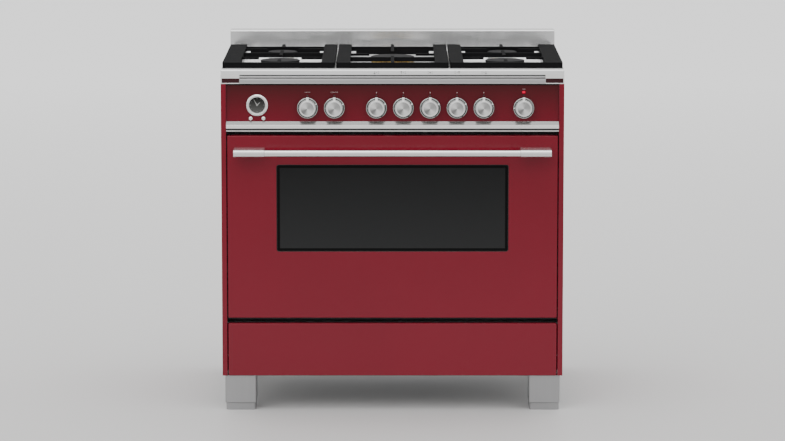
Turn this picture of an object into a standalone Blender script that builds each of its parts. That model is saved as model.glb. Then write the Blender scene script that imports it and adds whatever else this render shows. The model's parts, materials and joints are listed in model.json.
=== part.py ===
"""Freestanding gas range: casing, oven door, drawer, controls, gas parts, burners and grates.

Metres, +Z up.  The front faces -Y and +X is to the right of a person who stands in front of it.
The origin is on the floor, below the centre of the overall box, which reaches from the handle to the back.
"""

import math

import bmesh
import bpy
from mathutils import Vector

# Overall sizes
WIDTH = 0.910
BODY_DEPTH = 0.640
HANDLE_REACH = 0.060

# Heights of the front, stacked from the floor up
LEG_HEIGHT = 0.094
DRAWER_HEIGHT = 0.142
DRAWER_DOOR_GAP = 0.015
DOOR_HEIGHT = 0.490
DOOR_TRIM_GAP = 0.0115
TRIM_LIP = 0.0035
TRIM_GROOVE = 0.004
TRIM_FACE = 0.0095
TRIM_SLOPE = 0.0095
PANEL_HEIGHT = 0.0965
PANEL_TOP_GAP = 0.0035
NOSING_HEIGHT = 0.038
BACKGUARD_HEIGHT = 0.051
BACKGUARD_DEPTH = 0.060

# Sheet, walls and clearances
SKIN = 0.0015
REST_GAP = 0.0003
SIDE_CLEARANCE = 0.0025
EDGE_ROUND = 0.003
STRIP_WIDTH = 0.0135

# Door
DOOR_THICKNESS = 0.042
DOOR_PAN_DEPTH = 0.034
WINDOW_WIDTH = 0.617
WINDOW_HEIGHT = 0.2336
WINDOW_RISE = 0.179
WINDOW_ROUND = 0.006
GLASS_OVERLAP = 0.014
GLASS_THICKNESS = 0.005
INNER_WINDOW_INSET = 0.035
HINGE_RISE = 0.015
HINGE_SETBACK = 0.022
HINGE_INSET = 0.055
HINGE_PLATE = 0.005
HINGE_PIN_RADIUS = 0.003
HINGE_EYE_RADIUS = 0.0075
HINGE_PLAY = 0.0004
HANDLE_DROP = 0.041
HANDLE_RADIUS = 0.009
SLEEVE_RADIUS = 0.0098
SLEEVE_LENGTH = 0.082
SLEEVE_INSET = 0.019

# Drawer and base frame
DRAWER_FRONT_THICKNESS = 0.020
DRAWER_BOX_HEIGHT = 0.097
DRAWER_BOX_DEPTH = 0.500
DRAWER_WALL = 0.002
DRAWER_SIDE_GAP = 0.034
RUNNER_WIDTH = 0.013
RUNNER_RISE = 0.042
FRAME_WALL = 0.003
RAIL_WIDTH = 0.060
RAIL_HEIGHT = 0.012
FRAME_SETBACK = 0.0225
DIVIDER_THICKNESS = 0.002

# Legs
LEG_WIDTH = 0.0835
LEG_SIDE_INSET = 0.0067
LEG_SETBACK = 0.006
LEG_REAR_INSET = 0.010
LEG_ROUND = 0.006
FOOT_HEIGHT = 0.020
FOOT_STEP = 0.0025

# Oven
CAVITY_WIDTH = 0.690
CAVITY_HEIGHT = 0.405
CAVITY_DEPTH = 0.450
CAVITY_RISE = 0.034
CAVITY_WALL = 0.002
SEAL_WIDTH = 0.011
SEAL_MARGIN = 0.004
LEDGE_COUNT = 4
LEDGE_REACH = 0.009
LEDGE_THICKNESS = 0.006
RACK_LEVEL = 2
RACK_WIRE = 0.005
RACK_STOP = 0.018
RACK_BARS = 13
FAN_RADIUS = 0.070
FAN_BLADES = 8
FAN_COVER_DEPTH = 0.034
FAN_SHAFT_HOLE = 0.006
FAN_SLOT_PITCH = 0.016
FAN_SLOT_HEIGHT = 0.006
FAN_COVER_MARGIN = 0.045

# Control panel
PANEL_RECESS = 0.006
PANEL_DEPTH = 0.028
KNOB_RISE = 0.0363
CLOCK_INSET = 0.096
LAST_KNOB_INSET = 0.1073
# Distances between neighbouring controls from left to right, counted in knob pitches
CONTROL_STEPS = (1.88, 1.0, 1.571, 1.0, 1.0, 1.0, 1.0, 1.488)
SKIRT_RADIUS = 0.0288
SKIRT_THICKNESS = 0.008
SKIRT_STANDOFF = 0.005
CAP_RADIUS = 0.0197
KNOB_LENGTH = 0.025
STEM_RADIUS = 0.003
SLEEVE_WALL = 0.0025
SHAFT_PLAY = 0.0005
KNOB_TRAVEL = 0.004
CLOCK_RISE = 0.043
BEZEL_RADIUS = 0.0287
DIAL_RADIUS = 0.0213
CLOCK_BARREL = 0.0245
MINUTE_HAND = 0.0165
HOUR_HAND = 0.0113
HAND_HUB = 0.0022
HAND_SHOULDER = 0.6
MINUTE_ANGLE = math.radians(-30.0)
HOUR_ANGLE = math.radians(47.0)
BUTTON_RADIUS = 0.0051
BUTTON_SPACING = 0.034
BUTTON_RISE = 0.008
BUTTON_REACH = 0.0045

# Cooktop, burners and grates
WELL_MARGIN = 0.053
WELL_FRONT = 0.060
WELL_DEPTH_Y = 0.472
WELL_DROP = 0.024
WELL_ROUND = 0.030
BURNER_FRONT = 0.185
BURNER_REAR = 0.420
BURNER_CENTRE = 0.285
FRONT_BURNER_RADIUS = 0.058
REAR_BURNER_RADIUS = 0.045
CENTRE_BURNER_RADIUS = 0.064
BURNER_STEP = 0.006
BURNER_CROWN = 0.002
BURNER_CAP_OVERHANG = 0.001
BURNER_CAP_THICKNESS = 0.0065
BURNER_STUB = 0.012
GRATE_MARGIN = 0.003
GRATE_GAP = 0.004
GRATE_FRONT = 0.040
GRATE_LENGTH = 0.505
GRATE_RISE = 0.015
GRATE_PLATE = 0.012
OUTER_PLATE = 0.046
INNER_PLATE = 0.036
GRATE_BAR = 0.012
FRONT_BAR_HEIGHT = 0.0145
FOOT_LENGTH = 0.014
FOOT_SHARE = 0.6
REAR_BAR_INSET = 0.070
REAR_RIB_HEIGHT = 0.021
REAR_RIB_INSET = 0.012
FINGER_WIDTH = 0.009
FINGER_THICKNESS = 0.006
FINGER_CLEARANCE = 0.004

# Gas supply
MANIFOLD_SETBACK = 0.085
MANIFOLD_SIZE = 0.016
VALVE_WIDTH = 0.020
VALVE_HEIGHT = 0.024
VALVE_LENGTH = 0.032
PIPE_RADIUS = 0.008
PIPE_INSET = 0.035
FITTING_RADIUS = 0.013
FITTING_LENGTH = 0.0125
FITTING_BORE = 0.005
BACK_PANEL_INSET = 0.015
LOUVRE_COUNT = 6
LOUVRE_RISE = 0.100
LOUVRE_PITCH = 0.028
LOUVRE_WIDTH = 0.100
LOUVRE_HEIGHT = 0.008
CUT_REACH = 0.010

# Places worked out from the sizes above
HALF = WIDTH / 2
FRONT = HANDLE_REACH - (BODY_DEPTH + HANDLE_REACH) / 2
BACK = FRONT + BODY_DEPTH
DRAWER_Z = LEG_HEIGHT
DRAWER_TOP = DRAWER_Z + DRAWER_HEIGHT
DOOR_Z = DRAWER_TOP + DRAWER_DOOR_GAP
DOOR_TOP = DOOR_Z + DOOR_HEIGHT
TRIM_Z = DOOR_TOP + DOOR_TRIM_GAP
PANEL_Z = TRIM_Z + TRIM_LIP + TRIM_GROOVE + TRIM_FACE + TRIM_SLOPE
PANEL_TOP = PANEL_Z + PANEL_HEIGHT
NOSING_Z = PANEL_TOP + PANEL_TOP_GAP
DECK_Z = NOSING_Z + NOSING_HEIGHT
GRATE_TOP = DECK_Z + GRATE_RISE
FRONT_HALF = HALF - STRIP_WIDTH - SIDE_CLEARANCE
INNER_HALF = HALF - SKIN - 0.001
PANEL_FACE = FRONT + PANEL_RECESS
KNOB_Z = PANEL_Z + KNOB_RISE
CLOCK_Z = PANEL_Z + CLOCK_RISE
FLANGE_Y = FRONT + DOOR_THICKNESS + 0.0065
CAVITY_Z = DOOR_Z + CAVITY_RISE
FLOOR_Z = DECK_Z - WELL_DROP
HINGE_Y = FRONT + HINGE_SETBACK
HINGE_Z = DOOR_Z + HINGE_RISE
HINGE_X = FRONT_HALF - HINGE_INSET
CONTROL_PITCH = (WIDTH - CLOCK_INSET - LAST_KNOB_INSET) / sum(CONTROL_STEPS)
BACK_PANEL_Y = BACK - BACK_PANEL_INSET
PIPE_X = HALF - PIPE_INSET
GRATE_CENTRES = (-1, 0, 1)

ROUND_STEPS = 4
TURN_STEPS = 24

# Finishes: colour, roughness, metallic
RED_ENAMEL = ((0.22, 0.028, 0.042), 0.18, 0.0)
STEEL = ((0.62, 0.62, 0.61), 0.28, 1.0)
LEG_GREY = ((0.33, 0.33, 0.34), 0.45, 1.0)
IRON = ((0.025, 0.025, 0.027), 0.62, 0.0)
BLACK_ENAMEL = ((0.012, 0.012, 0.013), 0.3, 0.0)
OVEN_ENAMEL = ((0.045, 0.047, 0.052), 0.35, 0.0)
GLASS = ((0.02, 0.02, 0.022), 0.05, 0.0)
GALVANISED = ((0.40, 0.41, 0.42), 0.5, 1.0)
BRASS = ((0.80, 0.58, 0.22), 0.3, 1.0)
ALUMINIUM = ((0.60, 0.60, 0.61), 0.42, 1.0)
RUBBER = ((0.03, 0.03, 0.032), 0.85, 0.0)
WHITE = ((0.85, 0.85, 0.83), 0.4, 0.0)


def clear_scene():
    """Remove whatever the file opens with."""
    for item in list(bpy.data.objects):
        bpy.data.objects.remove(item, do_unlink=True)


def finish_material(name, finish):
    """A Principled material of one colour for one piece."""
    colour, roughness, metallic = finish
    made = bpy.data.materials.new(name)
    made.use_nodes = True
    shader = made.node_tree.nodes["Principled BSDF"]
    shader.inputs["Base Color"].default_value = (*colour, 1.0)
    shader.inputs["Roughness"].default_value = roughness
    shader.inputs["Metallic"].default_value = metallic
    made.diffuse_color = (*colour, 1.0)
    return made


def axis_empty(name, place):
    """An empty on a joint's axis, which carries the pieces that turn about it."""
    empty = bpy.data.objects.new(name, None)
    empty.location = place
    empty.empty_display_size = 0.03
    bpy.context.collection.objects.link(empty)
    return empty


def finish_object(name, shape, finish, pivot=(0, 0, 0), parent=None, smooth=False):
    """Turn a bmesh in world coordinates into an object whose origin is at its pivot."""
    bmesh.ops.recalc_face_normals(shape, faces=shape.faces)
    bmesh.ops.translate(shape, verts=shape.verts, vec=-Vector(pivot))
    mesh = bpy.data.meshes.new(name)
    shape.to_mesh(mesh)
    shape.free()
    if smooth:
        mesh.shade_smooth()
        mesh.set_sharp_from_angle(angle=math.radians(35))
    mesh.materials.append(finish_material(name, finish))
    made = bpy.data.objects.new(name, mesh)
    bpy.context.collection.objects.link(made)
    if parent is None:
        made.location = pivot
    else:
        made.parent = parent
    return made


def lofted(loops, ring=False):
    """A closed shape through loops of equally many points: capped at both ends, or a closed ring."""
    shape = bmesh.new()
    rows = [[shape.verts.new(point) for point in loop] for loop in loops]
    count = len(rows[0])
    pairs = list(zip(rows, rows[1:]))
    if ring:
        pairs.append((rows[-1], rows[0]))
    else:
        shape.faces.new(rows[0])
        shape.faces.new(rows[-1])
    for lower, upper in pairs:
        for i in range(count):
            j = (i + 1) % count
            shape.faces.new((lower[i], lower[j], upper[j], upper[i]))
    return shape


def place(axis, across, up, along):
    """A point from its place in a section and its place along an axis."""
    if axis == "X":
        return (along, across, up)
    if axis == "Y":
        return (across, along, up)
    return (across, up, along)


def prism(axis, outline, start, end):
    """An outline carried straight along an axis."""
    return lofted([[place(axis, a, b, along) for a, b in outline] for along in (start, end)])


def turned(axis, centre, profile, steps=TURN_STEPS):
    """A profile of radius and place along the axis, turned about a centre line."""
    loops = []
    for radius, along in profile:
        loop = []
        for i in range(steps):
            angle = math.tau * i / steps
            across = centre[0] + radius * math.cos(angle)
            up = centre[1] + radius * math.sin(angle)
            loop.append(place(axis, across, up, along))
        loops.append(loop)
    return lofted(loops)


def rounded_outline(across, up, half_across, half_up, radius):
    """A rectangle's outline with round corners, about a centre."""
    corners = ((1, 1), (-1, 1), (-1, -1), (1, -1))
    points = []
    for quarter, (side, level) in enumerate(corners):
        centre_across = across + side * (half_across - radius)
        centre_up = up + level * (half_up - radius)
        for i in range(ROUND_STEPS + 1):
            angle = math.pi / 2 * (quarter + i / ROUND_STEPS)
            points.append((centre_across + radius * math.cos(angle), centre_up + radius * math.sin(angle)))
    return points


def layers(axis, sections, ring=False):
    """A loft through rounded rectangles: centre, half sizes, corner radius and place on the axis."""
    loops = []
    for across, up, half_across, half_up, radius, along in sections:
        outline = rounded_outline(across, up, half_across, half_up, radius)
        loops.append([place(axis, a, b, along) for a, b in outline])
    return lofted(loops, ring)


def blocks(solids, voids=()):
    """The union of upright blocks, less some others: a face stands where a filled cell meets an empty one."""
    cuts = []
    for direction in range(3):
        cuts.append(sorted({round(edge, 6) for block in (*solids, *voids) for edge in block[direction]}))

    def holds(block, point):
        return all(low < value < high for (low, high), value in zip(block, point))

    cells = set()
    for i in range(len(cuts[0]) - 1):
        for j in range(len(cuts[1]) - 1):
            for k in range(len(cuts[2]) - 1):
                cell = (i, j, k)
                middle = [(cuts[d][n] + cuts[d][n + 1]) / 2 for d, n in enumerate(cell)]
                if any(holds(b, middle) for b in solids) and not any(holds(b, middle) for b in voids):
                    cells.add(cell)

    shape = bmesh.new()
    corners = {}

    def corner(index):
        if index not in corners:
            corners[index] = shape.verts.new([cuts[d][n] for d, n in enumerate(index)])
        return corners[index]

    for cell in sorted(cells):
        for direction in range(3):
            for side in (0, 1):
                neighbour = list(cell)
                neighbour[direction] += 2 * side - 1
                if tuple(neighbour) in cells:
                    continue
                first, second = [d for d in range(3) if d != direction]
                ring = []
                for step_first, step_second in ((0, 0), (1, 0), (1, 1), (0, 1)):
                    index = list(cell)
                    index[direction] += side
                    index[first] += step_first
                    index[second] += step_second
                    ring.append(corner(tuple(index)))
                if (side == 1) == (direction == 1):
                    ring.reverse()
                shape.faces.new(ring)
    bmesh.ops.dissolve_limit(shape, angle_limit=math.radians(0.1), verts=shape.verts, edges=shape.edges)
    return shape


def combine(target, tool, operation):
    """Add a Boolean of another object, which stays in the scene as a hidden guide."""
    tool.hide_render = True
    tool.display_type = "WIRE"
    step = target.modifiers.new(operation.title(), "BOOLEAN")
    step.operation = operation
    step.solver = "EXACT"
    step.object = tool


def drill(target, name, axis, centres, radius, start, end):
    """Cut round holes of one radius through an object."""
    shape = bmesh.new()
    for centre in centres:
        hole = turned(axis, centre, ((radius, start), (radius, end)), 24)
        scratch = bpy.data.meshes.new("scratch")
        hole.to_mesh(scratch)
        hole.free()
        shape.from_mesh(scratch)
        bpy.data.meshes.remove(scratch)
    combine(target, finish_object(name, shape, STEEL), "DIFFERENCE")


def control_places():
    """The x of the clock and of the eight knobs, from left to right."""
    places = [CLOCK_INSET - HALF]
    for step in CONTROL_STEPS:
        places.append(places[-1] + step * CONTROL_PITCH)
    return places


def grate_width():
    """Three grates share the width, with a gap between neighbours."""
    return (WIDTH - 2 * GRATE_MARGIN - 2 * GRATE_GAP) / 3


def burner_places():
    """Name, centre and radius of each burner."""
    step = grate_width() + GRATE_GAP
    return (
        ("left_front", (-step, FRONT + BURNER_FRONT), FRONT_BURNER_RADIUS),
        ("left_rear", (-step, FRONT + BURNER_REAR), REAR_BURNER_RADIUS),
        ("centre", (0.0, FRONT + BURNER_CENTRE), CENTRE_BURNER_RADIUS),
        ("right_rear", (step, FRONT + BURNER_REAR), REAR_BURNER_RADIUS),
        ("right_front", (step, FRONT + BURNER_FRONT), FRONT_BURNER_RADIUS),
    )


def make_side_panels():
    """Two sheet side panels, each with a return along its front and back edges."""
    top = NOSING_Z - REST_GAP
    for name, side in (("side_panel_left", -1), ("side_panel_right", 1)):
        outside = side * HALF
        inside = side * (HALF - SKIN)
        lip = side * (HALF - STRIP_WIDTH)
        outline = (
            (outside, FRONT),
            (outside, BACK),
            (lip, BACK),
            (lip, BACK - SKIN),
            (inside, BACK - SKIN),
            (inside, FRONT + SKIN),
            (lip, FRONT + SKIN),
            (lip, FRONT),
        )
        finish_object(name, prism("Z", outline, LEG_HEIGHT, top), RED_ENAMEL)


def make_back_panel():
    """The galvanised back sheet with its louvre slots and the hole for the gas pipe."""
    slots = []
    for side in (-1, 1):
        for i in range(LOUVRE_COUNT):
            low = DOOR_Z + LOUVRE_RISE + LOUVRE_PITCH * i
            centre = side * HALF / 2
            across = (centre - LOUVRE_WIDTH / 2, centre + LOUVRE_WIDTH / 2)
            slots.append((across, (BACK_PANEL_Y - CUT_REACH, BACK), (low, low + LOUVRE_HEIGHT)))
    depth = (BACK_PANEL_Y - SKIN, BACK_PANEL_Y)
    sheet = ((-INNER_HALF, INNER_HALF), depth, (LEG_HEIGHT, NOSING_Z - REST_GAP))
    panel = finish_object("back_panel", blocks([sheet], slots), GALVANISED)
    hole = ((PIPE_X, KNOB_Z),)
    start, end = BACK_PANEL_Y - CUT_REACH, BACK_PANEL_Y + CUT_REACH
    drill(panel, "back_panel_hole", "Y", hole, PIPE_RADIUS + SHAFT_PLAY, start, end)


def make_base_frame():
    """The frame that the legs bolt to: rails, side walls, runner ledges and the shelf over the drawer."""
    low = LEG_HEIGHT + REST_GAP
    shelf = DRAWER_TOP - 0.0025
    near = FRONT + FRAME_SETBACK
    far = BACK_PANEL_Y - SKIN - 0.001
    ledge_top = low + RAIL_HEIGHT + RUNNER_RISE - 0.001
    ledge_inner = FRONT_HALF - DRAWER_SIDE_GAP + SIDE_CLEARANCE
    solids = [((-INNER_HALF, INNER_HALF), (near, far), (shelf, shelf + DIVIDER_THICKNESS))]
    for side in (-1, 1):
        outer = side * INNER_HALF
        wall = sorted((outer, outer - side * FRAME_WALL))
        rail = sorted((outer, outer - side * RAIL_WIDTH))
        ledge = sorted((outer, side * ledge_inner))
        solids.append((wall, (near, far), (low, shelf + DIVIDER_THICKNESS)))
        solids.append((rail, (near, far), (low, low + RAIL_HEIGHT)))
        solids.append((ledge, (near, far), (ledge_top - 0.003, ledge_top)))
    for start, end in ((near + 0.01, near + 0.04), (far - 0.04, far)):
        solids.append(((-INNER_HALF, INNER_HALF), (start, end), (low, low + RAIL_HEIGHT)))
    finish_object("base_frame", blocks(solids), GALVANISED)


def make_legs():
    """Four square legs with rounded edges and a slightly narrower foot."""
    half = LEG_WIDTH / 2
    foot = half - FOOT_STEP
    top = LEG_HEIGHT - REST_GAP
    x = HALF - LEG_SIDE_INSET - half
    rows = (("front", FRONT + LEG_SETBACK + half), ("rear", BACK - LEG_REAR_INSET - half))
    for row, y in rows:
        for side_name, side in (("left", -1), ("right", 1)):
            sections = (
                (side * x, y, foot, foot, LEG_ROUND, 0.0),
                (side * x, y, foot, foot, LEG_ROUND, FOOT_HEIGHT - FOOT_STEP),
                (side * x, y, half, half, LEG_ROUND, FOOT_HEIGHT),
                (side * x, y, half, half, LEG_ROUND, top),
            )
            finish_object(f"{row}_leg_{side_name}", layers("Z", sections), LEG_GREY, smooth=True)


def make_drawer():
    """The storage drawer: its front and its open box with two runners."""
    middle = DRAWER_Z + DRAWER_HEIGHT / 2
    half_height = DRAWER_HEIGHT / 2
    sections = (
        (0, middle, FRONT_HALF, half_height, EDGE_ROUND, FRONT + DRAWER_FRONT_THICKNESS),
        (0, middle, FRONT_HALF, half_height, EDGE_ROUND, FRONT + 0.002),
        (0, middle, FRONT_HALF - 0.001, half_height - 0.001, EDGE_ROUND, FRONT),
    )
    finish_object("drawer_front", layers("Y", sections), RED_ENAMEL)
    half = FRONT_HALF - DRAWER_SIDE_GAP
    near = FRONT + DRAWER_FRONT_THICKNESS + REST_GAP
    far = near + DRAWER_BOX_DEPTH
    low = LEG_HEIGHT + REST_GAP + RAIL_HEIGHT + 0.002
    high = low + DRAWER_BOX_HEIGHT
    runner = LEG_HEIGHT + REST_GAP + RAIL_HEIGHT + RUNNER_RISE
    solids = [((-half, half), (near, far), (low, high))]
    for side in (-1, 1):
        wing = sorted((side * (half - DRAWER_WALL), side * (half + RUNNER_WIDTH)))
        solids.append((wing, (near, far), (runner, runner + DRAWER_WALL)))
    inside = (
        (-half + DRAWER_WALL, half - DRAWER_WALL),
        (near + DRAWER_WALL, far - DRAWER_WALL),
        (low + DRAWER_WALL, high + CUT_REACH),
    )
    finish_object("drawer_box", blocks(solids, [inside]), GALVANISED)


def hinge_slots():
    """The slots in the door's bottom inner corner that leave room for the hinge arms."""
    slots = []
    for side in (-1, 1):
        middle = side * HINGE_X
        width = HINGE_PLATE / 2 + HINGE_PLAY
        slots.append(
            (
                (middle - width, middle + width),
                (HINGE_Y - HINGE_EYE_RADIUS - 0.001, FRONT + DOOR_THICKNESS + CUT_REACH),
                (DOOR_Z - CUT_REACH, HINGE_Z + HINGE_EYE_RADIUS + 0.001),
            )
        )
    return slots


def make_door(pivot):
    """The oven door's shells and panes, in a nest from the outside in."""
    middle = DOOR_Z + DOOR_HEIGHT / 2
    half_height = DOOR_HEIGHT / 2
    window_z = DOOR_Z + WINDOW_RISE + WINDOW_HEIGHT / 2
    window = (WINDOW_WIDTH / 2, WINDOW_HEIGHT / 2, WINDOW_ROUND)
    pan = (0, middle, FRONT_HALF, half_height, EDGE_ROUND)
    inside = (0, middle, FRONT_HALF - SKIN, half_height - SKIN, EDGE_ROUND - SKIN)
    shell = layers(
        "Y",
        (
            (*pan, FRONT + 0.002),
            (*pan, FRONT + DOOR_PAN_DEPTH),
            (*inside, FRONT + DOOR_PAN_DEPTH),
            (*inside, FRONT + SKIN),
            (0, window_z, *window, FRONT + SKIN),
            (0, window_z, *window, FRONT),
            (0, middle, FRONT_HALF - 0.001, half_height - 0.001, EDGE_ROUND, FRONT),
        ),
        ring=True,
    )
    outer = finish_object("door_outer_panel", shell, RED_ENAMEL, pivot.location, pivot)
    glass_y = FRONT + SKIN + REST_GAP
    pane = (0, window_z, window[0] + GLASS_OVERLAP, window[1] + GLASS_OVERLAP, WINDOW_ROUND + GLASS_OVERLAP)
    glass = layers("Y", ((*pane, glass_y), (*pane, glass_y + GLASS_THICKNESS)))
    finish_object("door_window_glass", glass, GLASS, pivot.location, pivot)

    rim_y = FRONT + DOOR_PAN_DEPTH + REST_GAP
    face_y = FRONT + DOOR_THICKNESS
    liner = (0, middle, FRONT_HALF, half_height, EDGE_ROUND)
    plug = (0, middle, FRONT_HALF - 0.012, half_height - 0.012, EDGE_ROUND)
    hole = (0, window_z, window[0] - INNER_WINDOW_INSET, window[1] - INNER_WINDOW_INSET + 0.020, 0.012)
    shell = layers(
        "Y",
        (
            (*liner, rim_y),
            (*liner, rim_y + SKIN),
            (*plug, face_y),
            (*hole, face_y),
            (*hole, face_y - SKIN),
            (0, middle, FRONT_HALF - 0.014, half_height - 0.014, EDGE_ROUND, face_y - SKIN),
            (0, middle, FRONT_HALF - 0.014, half_height - 0.014, EDGE_ROUND, rim_y),
        ),
        ring=True,
    )
    inner = finish_object("door_inner_panel", shell, OVEN_ENAMEL, pivot.location, pivot)
    pane_y = face_y - SKIN - REST_GAP
    pane = (0, window_z, hole[2] + GLASS_OVERLAP, hole[3] + GLASS_OVERLAP, hole[4])
    glass = layers("Y", ((*pane, pane_y - GLASS_THICKNESS), (*pane, pane_y)))
    finish_object("door_inner_glass", glass, GLASS, pivot.location, pivot)

    slots = finish_object("door_hinge_slots", blocks(hinge_slots()), OVEN_ENAMEL)
    combine(outer, slots, "DIFFERENCE")
    combine(inner, slots, "DIFFERENCE")
    cheek = HINGE_PLATE / 2 + HINGE_PLAY
    cheeks = []
    for side in (-1, 1):
        for way in (-1, 1):
            across = sorted((side * HINGE_X + way * cheek, side * HINGE_X + way * (cheek + 0.003)))
            cheeks.append((across, (HINGE_Y - 0.006, face_y - 0.0005), (DOOR_Z + 0.0085, HINGE_Z + 0.02)))
    channel = finish_object("door_hinge_cheeks", blocks(cheeks), OVEN_ENAMEL)
    combine(inner, channel, "UNION")
    for side_name, side in (("left", -1), ("right", 1)):
        reach = cheek + 0.002
        start, end = sorted((side * HINGE_X - reach, side * HINGE_X + reach))
        pin_shape = turned("X", (HINGE_Y, HINGE_Z), ((HINGE_PIN_RADIUS, start), (HINGE_PIN_RADIUS, end)), 16)
        pin = finish_object(f"door_hinge_pin_{side_name}", pin_shape, STEEL)
        combine(inner, pin, "UNION")


def make_handle(pivot):
    """The towel-bar handle: a round bar between two sleeved end blocks that reach back to the door."""
    y = FRONT - HANDLE_REACH + HANDLE_RADIUS
    z = DOOR_TOP - HANDLE_DROP
    outer = FRONT_HALF - SLEEVE_INSET
    inner = outer - SLEEVE_LENGTH
    end = inner - REST_GAP
    bar = turned("X", (y, z), ((HANDLE_RADIUS, -end), (HANDLE_RADIUS, end)), 24)
    finish_object("handle_bar", bar, STEEL, pivot.location, pivot, smooth=True)
    nose = []
    for i in range(13):
        angle = math.pi / 2 + math.pi * i / 12
        nose.append((y + 0.0008 + SLEEVE_RADIUS * math.cos(angle), z + SLEEVE_RADIUS * math.sin(angle)))
    outline = [*nose, (FRONT - REST_GAP, z - SLEEVE_RADIUS), (FRONT - REST_GAP, z + SLEEVE_RADIUS)]
    for name, side in (("handle_post_left", -1), ("handle_post_right", 1)):
        start, stop = sorted((side * inner, side * outer))
        finish_object(name, prism("X", outline, start, stop), STEEL, pivot.location, pivot)


def make_hinge_arms():
    """The fixed hinge arms: an eye round the door's pin, and a hook behind the oven's front flange."""
    tail = FLANGE_Y + 0.020
    low = HINGE_Z - HINGE_EYE_RADIUS
    high = HINGE_Z + HINGE_EYE_RADIUS
    hook = FLANGE_Y + CAVITY_WALL + REST_GAP
    outline = []
    for i in range(13):
        angle = math.pi / 2 + math.pi * i / 12
        across = HINGE_Y + HINGE_EYE_RADIUS * math.cos(angle)
        outline.append((across, HINGE_Z + HINGE_EYE_RADIUS * math.sin(angle)))
    outline += [(hook, low), (hook, low - 0.004), (tail, low - 0.004), (tail, high)]
    for name, side in (("hinge_arm_left", -1), ("hinge_arm_right", 1)):
        middle = side * HINGE_X
        start, end = middle - HINGE_PLATE / 2, middle + HINGE_PLATE / 2
        arm = finish_object(name, prism("X", outline, start, end), GALVANISED)
        bore = HINGE_PIN_RADIUS + HINGE_PLAY
        drill(arm, f"{name}_bore", "X", ((HINGE_Y, HINGE_Z),), bore, start - CUT_REACH, end + CUT_REACH)


def rack_ledges():
    """The heights of the ledges that carry the racks, counted from the bottom of the oven."""
    step = CAVITY_HEIGHT / (LEDGE_COUNT + 1)
    return [CAVITY_Z + step * (i + 1) for i in range(LEDGE_COUNT)]


def make_oven():
    """The oven's enamelled box with its front flange, rack ledges, seal, fan cover, fan and one rack."""
    half = CAVITY_WIDTH / 2
    back = FLANGE_Y + CAVITY_DEPTH
    top = CAVITY_Z + CAVITY_HEIGHT
    flange_low = DRAWER_TOP + 0.002
    flange_high = TRIM_Z - 0.001
    wall = CAVITY_WALL
    solids = [
        ((-half - wall, half + wall), (FLANGE_Y, back + wall), (CAVITY_Z - wall, top + wall)),
        ((-INNER_HALF, INNER_HALF), (FLANGE_Y, FLANGE_Y + wall), (flange_low, flange_high)),
    ]
    voids = []
    edges = [CAVITY_Z]
    for level in rack_ledges():
        edges += [level - LEDGE_THICKNESS, level]
    edges.append(top)
    middle_half = half - LEDGE_REACH
    voids.append(((-middle_half, middle_half), (FLANGE_Y - CUT_REACH, back), (CAVITY_Z, top)))
    for low, high in zip(edges[::2], edges[1::2]):
        voids.append(((-half, half), (FLANGE_Y - CUT_REACH, back), (low, high)))
    slot = HINGE_PLATE / 2 + HINGE_PLAY
    for side in (-1, 1):
        across = (side * HINGE_X - slot, side * HINGE_X + slot)
        low = HINGE_Z - HINGE_EYE_RADIUS - 0.0045
        high = HINGE_Z + HINGE_EYE_RADIUS + HINGE_PLAY
        voids.append((across, (FLANGE_Y - CUT_REACH, FLANGE_Y + CUT_REACH), (low, high)))
    cavity = finish_object("oven_cavity", blocks(solids, voids), OVEN_ENAMEL)
    centre = (0, CAVITY_Z + CAVITY_HEIGHT / 2)
    drill(cavity, "fan_shaft_hole", "Y", (centre,), FAN_SHAFT_HOLE, back - CUT_REACH, back + CUT_REACH)

    inner = half + SEAL_MARGIN
    seal_height = CAVITY_HEIGHT / 2 + SEAL_MARGIN
    near = FRONT + DOOR_THICKNESS + REST_GAP
    far = FLANGE_Y - REST_GAP
    outline = (*centre, inner + SEAL_WIDTH, seal_height + SEAL_WIDTH, 0.020 + SEAL_WIDTH)
    opening = (*centre, inner, seal_height, 0.020)
    seal = layers("Y", ((*outline, near), (*outline, far), (*opening, far), (*opening, near)), ring=True)
    finish_object("door_gasket", seal, RUBBER)
    make_fan(centre, back)
    make_rack(back)


def make_fan(centre, back):
    """The fan on its shaft, and the slotted cover in front of it."""
    cover_half = FAN_RADIUS + FAN_COVER_MARGIN
    front = back - FAN_COVER_DEPTH
    x, z = centre
    shell = ((x - cover_half, x + cover_half), (front, back - REST_GAP), (z - cover_half, z + cover_half))
    wall = SKIN
    voids = [
        (
            (x - cover_half + wall, x + cover_half - wall),
            (front + wall, back + CUT_REACH),
            (z - cover_half + wall, z + cover_half - wall),
        )
    ]
    for i in range(-4, 5):
        level = z + i * FAN_SLOT_PITCH
        across = (x - FAN_RADIUS, x + FAN_RADIUS)
        height = (level - FAN_SLOT_HEIGHT / 2, level + FAN_SLOT_HEIGHT / 2)
        voids.append((across, (front - CUT_REACH, front + CUT_REACH), height))
    finish_object("fan_cover", blocks([shell], voids), OVEN_ENAMEL)
    outline = []
    steps = 4 * FAN_BLADES
    for i in range(steps):
        radius = FAN_RADIUS if i % 4 in (0, 1) else FAN_RADIUS * 0.45
        angle = math.tau * (i + (0.35 if i % 4 in (2, 3) else 0.0)) / steps
        outline.append((x + radius * math.cos(angle), z + radius * math.sin(angle)))
    blades = prism("Y", outline, front + 0.008, back - 0.006)
    fan = finish_object("convection_fan", blades, ALUMINIUM, (x, back, z))
    profile = ((0.0045, back - 0.010), (0.0045, back + 0.035))
    shaft = finish_object("convection_fan_shaft", turned("Y", centre, profile, 16), STEEL)
    combine(fan, shaft, "UNION")


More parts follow.
